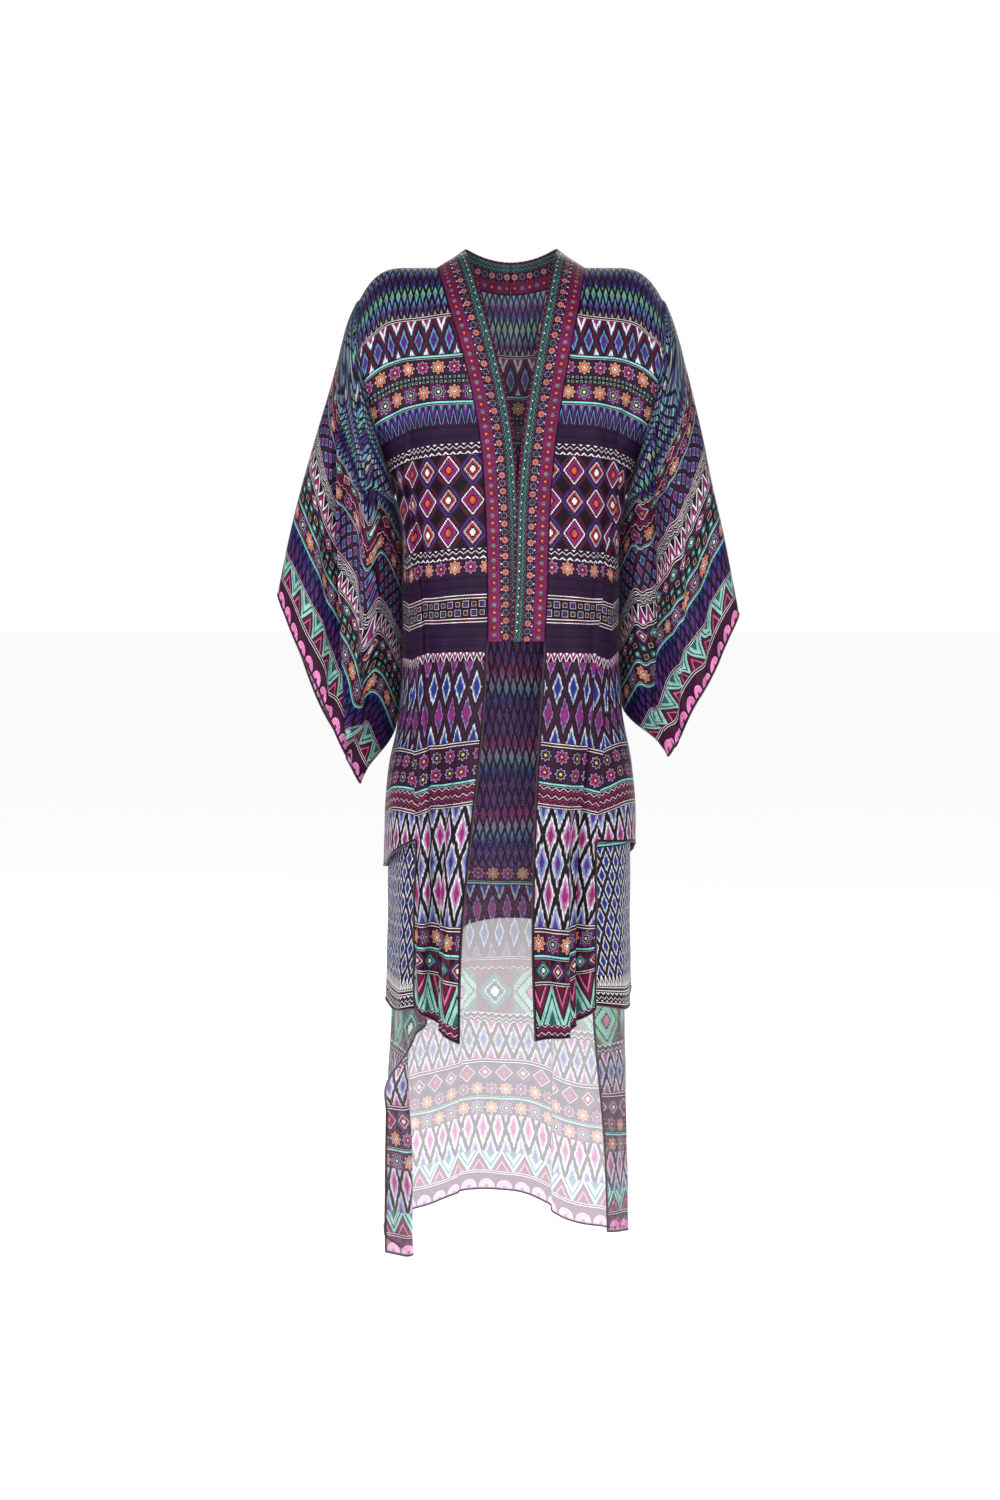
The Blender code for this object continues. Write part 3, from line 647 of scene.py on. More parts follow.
@dataclass(frozen=True)
class WornForm:
    """Hollow form on which the panels hang, worked out from the sections."""

    shoulder_reach: float = 0.205
    shoulder_flat: float = 0.140
    shoulder_fall: float = 0.042
    shoulder_sink: float = 0.006
    shoulder_round: float = 0.100
    neck_half: float = 0.100
    neck_drop: float = 0.030
    underarm_drop: float = 0.310
    slit_drop: float = 0.775
    round_power: float = 0.80
    rounding: Pair = (0.22, 0.36)
    fall_end: float = 0.26
    seam_gap: float = 0.0002

    def opening(self, drop: Array) -> Array:
        """Quarter-round share with which the depth opens below the shoulder line."""
        past = 1.0 - np.clip(drop / self.shoulder_round, 0.0, 1.0)
        return np.sqrt(np.clip(1.0 - past**2, 0.0, 1.0))

    def height(self, x: Array, drop: Array) -> Array:
        """Height of a point: its drop, and the fall of the shoulder towards its end.

        Args:
            x: Distance from the middle, with its side.
            drop: Drop of each point.

        Returns:
            Heights.
        """
        reach = self.shoulder_reach - self.shoulder_flat
        past = np.clip((np.abs(x) - self.shoulder_flat) / reach, 0.0, 1.2)
        fall = self.shoulder_sink + self.shoulder_fall * past**3
        return -drop - fall * (1.0 - smooth_step(0.0, self.fall_end, drop))

    def turn_at(self, edge: Array, half: Array) -> Array:
        """Angle round the section at which its side distance is that of an edge."""
        return np.arcsin(np.clip(edge / half, 0.0, 1.0) ** (1.0 / self.round_power))

    def front(self, side: Side, across: Array, drop: Array) -> Array:
        """Points of a front: a flat armhole zone that goes over into a rounded section.

        Args:
            side: Which front.
            across: Share from the inner edge to the side seam.
            drop: Drop of each point.

        Returns:
            Points of the front.
        """
        half = follow(SECTIONS, "half_width", drop)
        depth = follow(SECTIONS, "front", drop) * self.opening(drop)
        arm = follow(SECTIONS, "arm", drop) * self.opening(drop)
        inner = follow(EDGES[side], "inner", drop)
        outer = np.minimum(follow(EDGES[side], "outer", drop), half)
        rounding = smooth_step(*self.rounding, drop)
        flat_x = inner + (half - inner) * across
        flat_y = -(depth + (arm - depth) * (flat_x / half) ** 2)
        first = self.turn_at(inner, half)
        last = self.turn_at(outer, half) - self.seam_gap / half
        turn = first + (last - first) * across
        round_x = half * signed_power(np.sin(turn), self.round_power)
        round_y = -depth * np.clip(np.cos(turn), 0.0, 1.0) ** self.round_power
        x = flat_x + (round_x - flat_x) * rounding
        y = flat_y + (round_y - flat_y) * rounding
        return point_grid(side.value * x, y, self.height(x, drop))

    def back(
        self, across: Array, drop: Array, inset: Array | float, edges: Sequence[LayerEdge] | None = None
    ) -> Array:
        """Points of the back, whose rounded sides come round to the front.

        Args:
            across: Share from -1 at one side edge to 1 at the other.
            drop: Drop of each point.
            inset: How far inside the outer form the cloth hangs.
            edges: Free front edges of a lower layer, or None for the side seams.

        Returns:
            Points of the back.
        """
        half = follow(SECTIONS, "half_width", drop) - inset
        front = follow(SECTIONS, "front", drop) * self.opening(drop) - inset
        back = follow(SECTIONS, "back", drop) * self.opening(drop) - inset
        arm = follow(SECTIONS, "arm", drop) * self.opening(drop)
        if edges is None:
            right_edge = follow(EDGES[Side.RIGHT], "outer", drop)
            left_edge = follow(EDGES[Side.LEFT], "outer", drop)
        else:
            right_edge = follow(edges, "right", drop)
            left_edge = follow(edges, "left", drop)
        edge = np.minimum(np.where(across < 0.0, right_edge, left_edge), half)
        rounding = smooth_step(*self.rounding, drop)
        flat_x = half * across
        flat_y = back + (arm - back) * across**2
        turn = (np.pi - self.turn_at(edge, half)) * np.abs(across)
        round_x = np.sign(across) * half * np.abs(np.sin(turn)) ** self.round_power
        cosine = np.cos(turn)
        round_y = np.where(cosine > 0.0, back, front) * signed_power(cosine, self.round_power)
        x = flat_x + (round_x - flat_x) * rounding
        y = flat_y + (round_y - flat_y) * rounding
        return point_grid(x, y, self.height(x, drop))

    def seam_drops(self, arm_rows: int, side_rows: int) -> Array:
        """Drops of rows from the shoulder line to the end of the side seam.

        Args:
            arm_rows: Rows to the underarm, close together at both ends.
            side_rows: Rows from the underarm to the slit.

        Returns:
            Rising drops.
        """
        arm = self.arm_drops(arm_rows)
        side = np.linspace(self.underarm_drop, self.slit_drop, side_rows + 1)
        return np.concatenate([arm, side[1:]])

    def arm_drops(self, rows: int) -> Array:
        """Drops of rows from the shoulder line to the underarm, on a cosine."""
        return self.underarm_drop * (0.5 - 0.5 * np.cos(np.linspace(0.0, np.pi, rows + 1)))


FORM = WornForm()


# Dyes and the print


class Dye(Enum):
    """Dyes of the print, as display values from 0 to 255."""

    INK = (22, 13, 24)
    PLUM = (60, 20, 50)
    AUBERGINE = (40, 18, 54)
    WINE = (98, 22, 44)
    BERRY = (114, 30, 84)
    RED = (160, 34, 44)
    MAGENTA = (150, 36, 108)
    ROSE = (208, 100, 160)
    PINK = (242, 140, 202)
    VIOLET = (84, 44, 122)
    LILAC = (162, 144, 188)
    COBALT = (42, 48, 132)
    SKY = (102, 150, 198)
    CYAN = (134, 222, 228)
    MINT = (136, 200, 150)
    TEAL = (48, 98, 102)
    SEA = (150, 206, 196)
    SAND = (190, 184, 164)
    WHITE = (244, 240, 244)
    ORANGE = (214, 100, 52)
    YELLOW = (226, 190, 84)

    @property
    def linear(self) -> Colour:
        """Scene-linear colour of the dye.

        Returns:
            Red, green, blue and an alpha of 1.
        """
        shown = np.array(self.value) / 255.0
        low, high = shown / 12.92, ((shown + 0.055) / 1.055) ** 2.4
        red, green, blue = np.where(shown <= 0.04045, low, high)
        return (float(red), float(green), float(blue), 1.0)


class Motif(Enum):
    """Common patterns of the print: the method that draws each, and its share of feathering."""

    LOZENGE = ("lozenge", 1.0)
    FEATHER = ("feather", 0.5)
    ROSETTE = ("rosette", 0.06)
    ZIGZAG = ("zigzag", 0.12)
    STEPS = ("steps", 0.05)
    TEETH = ("teeth", 0.10)
    STRIPES = ("stripes", 0.08)
    SCALLOP = ("scallop", 0.06)
    CHECKS = ("checks", 0.0)


Stops = tuple[tuple[Dye, float], ...]


class Scheme(Enum):
    """Runs of dyes from the middle of a motif outwards, each with the percentage it reaches."""

    IKAT_MAGENTA = "magenta 36 white 60 sky 68 ink 84 wine 100"
    IKAT_VIOLET = "violet 34 sky 50 lilac 64 white 74 ink 100"
    IKAT_BLUE = "cobalt 42 sky 54 white 63 ink 84 plum 100"
    IKAT_SKY = "cobalt 48 sky 56 white 70 ink 90 plum 100"
    IKAT_ROSE = "magenta 34 rose 44 lilac 60 white 74 ink 100"
    IKAT_DEEP = "violet 42 sky 60 ink 84 plum 100"
    IKAT_PLUM = "magenta 36 violet 52 lilac 60 ink 82 plum 100"
    FLOWER_ORANGE = "white 14 ink 24 white 30 orange 58 sand 66 ink 82 plum 100"
    FLOWER_ROSE = "yellow 14 ink 28 magenta 54 lilac 64 ink 82 plum 100"
    FLOWER_VIOLET = "white 14 ink 34 sand 42 ink 60 lilac 68 violet 82 wine 100"
    FLOWER_YELLOW = "yellow 16 ink 42 lilac 54 ink 72 plum 100"
    FLOWER_SMALL = "yellow 18 red 56 plum 72 berry 100"
    FLOWER_GREEN = "plum 20 mint 34 plum 46 magenta 66 berry 100"
    ZIG_WHITE = "white 17 ink 48 white 56 plum 82 ink 100"
    ZIG_WINE = "wine 34 white 42 ink 68 magenta 86 ink 100"
    ZIG_TEAL = "teal 36 ink 74 sea 82 ink 100"
    STEP_DARK = "orange 10 ink 20 magenta 38 ink 46 white 52 aubergine 68 wine 82 ink 100"
    STEP_RED = "white 8 ink 18 red 34 white 40 ink 54 violet 66 aubergine 80 ink 100"
    STEP_SEA = "white 10 ink 22 sea 32 teal 50 ink 62 wine 100"
    STEP_MINT = "rose 12 ink 20 sea 46 ink 54 mint 70 teal 100"
    TOOTH_TEAL = "teal 20 sea 36 ink 42 sea 54 ink 60 wine 72 rose 79 ink 84 wine 100"
    TOOTH_WHITE = "ink 36 white 48 ink 56 magenta 80 white 100"
    TOOTH_BLUE = "plum 34 sky 42 ink 60 violet 84 sky 100"
    TOOTH_INK = "ink 40 white 62 ink 80 white 100"
    LINE_CYAN = "ink 24 cyan 56 ink 78 sand 88 ink 100"
    LINE_WHITE = "ink 18 white 32 ink 50 wine 72 white 84 ink 100"
    LINE_INK = "ink 50 plum 100"
    LINE_NIGHT = "aubergine 22 ink 34 aubergine 58 plum 66 aubergine 100"
    SHELL_PINK = "magenta 14 ink 18 pink 46 rose 50 pink 70 ink 80 plum 100"
    CHECK_WINE = "wine 46 sand 58 ink 100"
    CHECK_TEAL = "sea 30 teal 66 ink 100"
    CHECK_NIGHT = "violet 40 ink 66 white 74 aubergine 100"
    BEAD_ORANGE = "wine 16 orange 52 sand 60 violet 78 ink 100"
    BEAD_INK = "teal 14 ink 54 sand 60 violet 78 ink 100"
    DASH_WINE = "rose 34 wine 100"
    DASH_INK = "wine 50 ink 100"
    TONE_NIGHT = "sky 16 violet 34 cobalt 46 mint 58 sky 74 violet 88 sand 100"
    TONE_FEATHER = "violet 24 cobalt 42 sky 54 lilac 64 magenta 82 violet 100"

    @property
    def stops(self) -> Stops:
        """The runs as dyes and shares."""
        words = self.value.split()
        return tuple((Dye[dye.upper()], int(end) / 100.0) for dye, end in zip(words[::2], words[1::2]))


class Strip(NamedTuple):
    """Strip of a print: its run along the cloth, motif, cell size, colourings and start."""

    run: float
    motif: Motif
    width: float
    height: float
    scheme: Scheme
    second: Scheme | None = None
    start: float = 0.0

    @property
    def other(self) -> Scheme:
        """Colouring of every other cell."""
        return self.second or self.scheme


def line(run: float, scheme: Scheme, pitch: float | None = None) -> Strip:
    """Strip of lines along the cloth that fill it once, or repeat at a pitch."""
    return Strip(run, Motif.STRIPES, run, pitch or run, scheme)


def flowers(scheme: Scheme, second: Scheme) -> Strip:
    """Strip of one row of round flowers in two colourings."""
    return Strip(0.022, Motif.ROSETTE, 0.0215, 0.022, scheme, second)


def stacked(start: float, *strips: Strip) -> tuple[Strip, ...]:
    """Strips laid one after another along the cloth.

    Args:
        start: Where the first one starts.
        strips: The strips in order.

    Returns:
        The strips, each with its start.
    """
    starts = np.round(np.cumsum([start, *(strip.run for strip in strips[:-1])]), 6).tolist()
    return tuple(strip._replace(start=place) for strip, place in zip(strips, starts))


FRONT_PRINT = stacked(
    -0.012,
    Strip(0.022, Motif.ZIGZAG, 0.009, 0.011, Scheme.ZIG_WINE),
    Strip(0.086, Motif.FEATHER, 0.0084, 0.036, Scheme.TONE_NIGHT),
    line(0.006, Scheme.LINE_WHITE),
    Strip(0.048, Motif.LOZENGE, 0.0205, 0.056, Scheme.IKAT_MAGENTA, Scheme.IKAT_DEEP),
    line(0.007, Scheme.LINE_CYAN),
    flowers(Scheme.FLOWER_ORANGE, Scheme.FLOWER_ROSE),
    Strip(0.012, Motif.CHECKS, 0.006, 0.006, Scheme.CHECK_WINE, Scheme.CHECK_TEAL),
    flowers(Scheme.FLOWER_VIOLET, Scheme.FLOWER_ORANGE),
    line(0.007, Scheme.LINE_CYAN),
    Strip(0.024, Motif.TEETH, 0.011, 0.024, Scheme.TOOTH_BLUE),
    line(0.025, Scheme.LINE_NIGHT, 0.0125),
    Strip(0.014, Motif.ZIGZAG, 0.0105, 0.014, Scheme.ZIG_WHITE),
    Strip(0.126, Motif.STEPS, 0.034, 0.042, Scheme.STEP_DARK, Scheme.STEP_RED),
    Strip(0.014, Motif.ZIGZAG, 0.0105, 0.014, Scheme.ZIG_WHITE),
    flowers(Scheme.FLOWER_ROSE, Scheme.FLOWER_ORANGE),
    line(0.025, Scheme.LINE_NIGHT, 0.0125),
    line(0.008, Scheme.LINE_WHITE),
    Strip(0.022, Motif.CHECKS, 0.011, 0.011, Scheme.CHECK_WINE, Scheme.CHECK_NIGHT),
    line(0.008, Scheme.LINE_WHITE),
    line(0.0375, Scheme.LINE_NIGHT, 0.0125),
    Strip(0.012, Motif.TEETH, 0.009, 0.012, Scheme.TOOTH_WHITE),
    Strip(0.108, Motif.LOZENGE, 0.022, 0.072, Scheme.IKAT_PLUM, Scheme.IKAT_BLUE),
    line(0.007, Scheme.LINE_WHITE),
    Strip(0.044, Motif.ROSETTE, 0.022, 0.022, Scheme.FLOWER_YELLOW, Scheme.FLOWER_ROSE),
    line(0.007, Scheme.LINE_CYAN),
    Strip(0.022, Motif.ZIGZAG, 0.011, 0.011, Scheme.ZIG_WINE),
    line(0.007, Scheme.LINE_WHITE),
    Strip(0.147, Motif.LOZENGE, 0.0225, 0.0735, Scheme.IKAT_VIOLET, Scheme.IKAT_ROSE),
    line(0.007, Scheme.LINE_WHITE),
    flowers(Scheme.FLOWER_ORANGE, Scheme.FLOWER_VIOLET),
    line(0.007, Scheme.LINE_CYAN),
    Strip(0.024, Motif.STEPS, 0.024, 0.024, Scheme.STEP_SEA, Scheme.STEP_RED),
    line(0.006, Scheme.LINE_WHITE),
    Strip(0.05, Motif.TEETH, 0.036, 0.05, Scheme.TOOTH_TEAL),
    Strip(0.2, Motif.ZIGZAG, 0.01, 0.01, Scheme.ZIG_WINE),
)

SLEEVE_PRINT = stacked(
    -0.01,
    Strip(0.034, Motif.SCALLOP, 0.0245, 0.024, Scheme.SHELL_PINK),
    line(0.006, Scheme.LINE_WHITE),
    Strip(0.028, Motif.TEETH, 0.03, 0.028, Scheme.TOOTH_TEAL),
    line(0.006, Scheme.LINE_WHITE),
    Strip(0.04, Motif.FEATHER, 0.0105, 0.04, Scheme.TONE_FEATHER),
    line(0.007, Scheme.LINE_CYAN),
    flowers(Scheme.FLOWER_ORANGE, Scheme.FLOWER_VIOLET),
    line(0.007, Scheme.LINE_CYAN),
    Strip(0.024, Motif.CHECKS, 0.012, 0.012, Scheme.CHECK_WINE, Scheme.CHECK_TEAL),
    Strip(0.02, Motif.STEPS, 0.02, 0.02, Scheme.STEP_RED, Scheme.STEP_SEA),
    line(0.008, Scheme.LINE_WHITE),
    Strip(0.024, Motif.TEETH, 0.012, 0.024, Scheme.TOOTH_WHITE),
    Strip(0.014, Motif.ZIGZAG, 0.0095, 0.007, Scheme.ZIG_WHITE),
    line(0.008, Scheme.LINE_WHITE),
    Strip(0.056, Motif.LOZENGE, 0.0135, 0.028, Scheme.IKAT_PLUM, Scheme.IKAT_DEEP),
    line(0.006, Scheme.LINE_CYAN),
    flowers(Scheme.FLOWER_ROSE, Scheme.FLOWER_ORANGE),
    Strip(0.012, Motif.ZIGZAG, 0.0095, 0.012, Scheme.ZIG_WINE),
    Strip(0.022, Motif.STEPS, 0.022, 0.022, Scheme.STEP_SEA, Scheme.STEP_DARK),
    line(0.006, Scheme.LINE_WHITE),
    Strip(0.3, Motif.FEATHER, 0.0086, 0.036, Scheme.TONE_NIGHT),
)

MIDDLE_PRINT = stacked(
    -0.01,
    line(0.016, Scheme.LINE_WHITE, 0.008),
    Strip(0.012, Motif.ZIGZAG, 0.009, 0.012, Scheme.ZIG_WHITE),
    line(0.008, Scheme.LINE_WHITE),
    Strip(0.014, Motif.TEETH, 0.008, 0.014, Scheme.TOOTH_INK),
    Strip(0.16, Motif.LOZENGE, 0.0195, 0.0355, Scheme.IKAT_SKY),
    line(0.007, Scheme.LINE_CYAN),
    flowers(Scheme.FLOWER_ORANGE, Scheme.FLOWER_VIOLET),
    Strip(0.012, Motif.ZIGZAG, 0.0095, 0.012, Scheme.ZIG_WINE),
    Strip(0.7, Motif.LOZENGE, 0.022, 0.072, Scheme.IKAT_PLUM, Scheme.IKAT_BLUE),
)

LONG_PRINT = stacked(
    -0.01,
    Strip(0.034, Motif.SCALLOP, 0.0265, 0.024, Scheme.SHELL_PINK),
    line(0.006, Scheme.LINE_WHITE),
    Strip(0.03, Motif.TEETH, 0.034, 0.03, Scheme.TOOTH_TEAL),
    Strip(0.056, Motif.LOZENGE, 0.0225, 0.0735, Scheme.IKAT_VIOLET, Scheme.IKAT_ROSE),
    flowers(Scheme.FLOWER_ORANGE, Scheme.FLOWER_VIOLET),
    line(0.007, Scheme.LINE_CYAN),
    flowers(Scheme.FLOWER_ROSE, Scheme.FLOWER_ORANGE),
    Strip(0.028, Motif.STEPS, 0.028, 0.028, Scheme.STEP_RED, Scheme.STEP_DARK),
    line(0.008, Scheme.LINE_WHITE),
    Strip(0.057, Motif.LOZENGE, 0.022, 0.057, Scheme.IKAT_ROSE, Scheme.IKAT_VIOLET),
    Strip(0.014, Motif.ZIGZAG, 0.0105, 0.014, Scheme.ZIG_WHITE),
    Strip(0.066, Motif.STEPS, 0.055, 0.066, Scheme.STEP_MINT, Scheme.STEP_SEA),
    Strip(0.014, Motif.ZIGZAG, 0.0105, 0.014, Scheme.ZIG_WINE),
    line(0.006, Scheme.LINE_WHITE),
    Strip(0.108, Motif.LOZENGE, 0.022, 0.072, Scheme.IKAT_PLUM, Scheme.IKAT_BLUE),
    line(0.007, Scheme.LINE_CYAN),
    flowers(Scheme.FLOWER_ORANGE, Scheme.FLOWER_ROSE),
    Strip(0.8, Motif.FEATHER, 0.0105, 0.04, Scheme.TONE_FEATHER),
)

COLLAR_PRINT = stacked(
    -0.01,
    line(0.0118, Scheme.LINE_INK, 0.002),
    Strip(0.0152, Motif.ROSETTE, 0.0098, 0.0152, Scheme.FLOWER_SMALL, Scheme.FLOWER_GREEN),
    Strip(0.0024, Motif.CHECKS, 0.003, 0.0024, Scheme.DASH_INK, Scheme.DASH_WINE),
    Strip(0.0104, Motif.ROSETTE, 0.0106, 0.0104, Scheme.BEAD_ORANGE, Scheme.BEAD_INK),
    Strip(0.0014, Motif.CHECKS, 0.003, 0.0014, Scheme.DASH_INK, Scheme.DASH_WINE),
    Strip(0.0108, Motif.ZIGZAG, 0.0072, 0.0054, Scheme.ZIG_TEAL),
    Strip(0.018, Motif.CHECKS, 0.0042, 0.0056, Scheme.DASH_WINE, Scheme.DASH_INK),
)


def operator(name: str) -> Callable[..., Num]:
    """Method that puts a number, and others, through one step of arithmetic.

    Args:
        name: Name of the step.

    Returns:
        The method.
    """

    def apply(number: Num, *others: Num | float) -> Num:
        """The number after the step."""
        return number.sketch.math(name, number, *others)

    return apply


class Num:
    """Number that varies over the cloth: a shader socket with arithmetic."""

    __add__ = operator("ADD")
    __sub__ = operator("SUBTRACT")
    __mul__ = operator("MULTIPLY")
    __truediv__ = operator("DIVIDE")
    __mod__ = operator("FLOORED_MODULO")
    __abs__ = operator("ABSOLUTE")
    floor = operator("FLOOR")
    fract = operator("FRACT")
    most = operator("MAXIMUM")
    above = operator("GREATER_THAN")

    def __init__(self, sketch: Sketch, socket: Socket) -> None:
        """Keep the sketch that owns the socket."""
        self.sketch = sketch
        self.socket = socket

    def over(self, edge: float, soft: float) -> Num:
        """1 over an edge and 0 below it, with a soft change between."""
        return self.sketch.math("MULTIPLY_ADD", self, 1.0 / soft, 0.5 - edge / soft, clamp=True)

    def below(self, edge: float, soft: float) -> Num:
        """1 below an edge and 0 above it, with a soft change between."""
        return self.sketch.math("MULTIPLY_ADD", self, -1.0 / soft, edge / soft + 0.5, clamp=True)


class Sketch:
    """Node tree of a material, written as arithmetic on the cloth's own coordinates."""

    def __init__(self, tree: bpy.types.NodeTree) -> None:
        """Start in a material's node tree."""
        self.tree = tree

    def node(self, kind: str) -> bpy.types.Node:
        """New node of a kind."""
        return self.tree.nodes.new(kind)

    def put(self, slot: Socket, value: object) -> None:
        """Link a number or a socket into a slot, or set its value.

        Args:
            slot: Input to fill.
            value: Number, socket or plain value.
        """
        if isinstance(value, Num):
            self.tree.links.new(value.socket, slot)
        elif isinstance(value, Socket):
            self.tree.links.new(value, slot)
        else:
            slot.default_value = value

    def math(self, operation: str, *values: Num | float, clamp: bool = False) -> Num:
        """One step of arithmetic.

        Args:
            operation: Name of the step.
            values: Its inputs.
            clamp: Whether to keep the result from 0 to 1.

        Returns:
            The result.
        """
        node = self.node("ShaderNodeMath")
        node.operation = operation
        node.use_clamp = clamp
        for slot, value in zip(node.inputs, values):
            self.put(slot, value)
        return Num(self, node.outputs[0])

    def cloth_place(self) -> tuple[Num, Num]:
        """Metres across and along the cloth, from its own map.

        Returns:
            The two numbers.
        """
        chart = self.node("ShaderNodeUVMap")
        chart.uv_map = CLOTH_UV
        split = self.node("ShaderNodeSeparateXYZ")
        self.put(split.inputs[0], chart.outputs[0])
        return Num(self, split.outputs[0]), Num(self, split.outputs[1])

    def attribute(self, name: str) -> Num:
        """Number kept on the cloth's points.

        Args:
            name: Name of the attribute.

        Returns:
            The number.
        """
        kept = self.node("ShaderNodeAttribute")
        kept.attribute_name = name
        return Num(self, kept.outputs["Fac"])

    def noise(self, x: Num, y: Num, detail: float) -> Num:
        """Soft noise about 0 to 1 on two numbers.

        Args:
            x: First number.
            y: Second number.
            detail: Finer octaves to add.

        Returns:
            The noise.
        """
        join = self.node("ShaderNodeCombineXYZ")
        self.put(join.inputs[0], x)
        self.put(join.inputs[1], y)
        grain = self.node("ShaderNodeTexNoise")
        grain.noise_dimensions = "2D"
        self.put(grain.inputs["Vector"], join.outputs[0])
        grain.inputs["Scale"].default_value = 1.0
        grain.inputs["Detail"].default_value = detail
        return Num(self, grain.outputs[0])

    def mix(self, under: object, over: object, share: Num | float) -> Socket:
        """Colour over another by a share.

        Args:
            under: Colour below.
            over: Colour above.
            share: How far the upper one covers.

        Returns:
            The mixed colour.
        """
        node = self.node("ShaderNodeMix")
        node.data_type = "RGBA"
        self.put(node.inputs[0], share)
        self.put(node.inputs[6], under)
        self.put(node.inputs[7], over)
        return node.outputs[2]

    def lighten(self, colour: object, power: float) -> Socket:
        """Colour raised to a power, lighter below 1 with its hue kept.

        Args:
            colour: Colour to raise.
            power: The power.

        Returns:
            The raised colour.
        """
        node = self.node("ShaderNodeGamma")
        self.put(node.inputs[0], colour)
        self.put(node.inputs[1], power)
        return node.outputs[0]

    def bump(self, shader: bpy.types.Node, height: Num, strength: float, distance: float) -> None:
        """Low relief on a shader's surface.

        Args:
            shader: Shader to give the relief to.
            height: Height over the cloth.
            strength: Share of the relief that shows.
            distance: Metres for a height of 1.
        """
        node = self.node("ShaderNodeBump")
        node.inputs["Strength"].default_value = strength
        node.inputs["Distance"].default_value = distance
        self.put(node.inputs["Height"], height)
        self.put(shader.inputs["Normal"], node.outputs[0])

    def ramp(self, place: Num, scheme: Scheme, soft: float) -> Socket:
        """Dyes by a number from 0 to 1, each run flat and softly joined to the next.

        Args:
            place: The number.
            scheme: Runs of dyes.
            soft: Half width of the join.

        Returns:
            The colour.
        """
        node = self.node("ShaderNodeValToRGB")
        marks = node.color_ramp.elements
        marks[0].position = 0.0
        marks[0].color = scheme.stops[0][0].linear
        marks[1].position = 1.0
        marks[1].color = scheme.stops[-1][0].linear
        for (dye, end), (following, _) in zip(scheme.stops[:-1], scheme.stops[1:]):
            for position, colour in ((end - soft, dye), (end + soft, following)):
                mark = marks.new(position)
                mark.color = colour.linear
        self.put(node.inputs[0], place)
        return node.outputs[0]


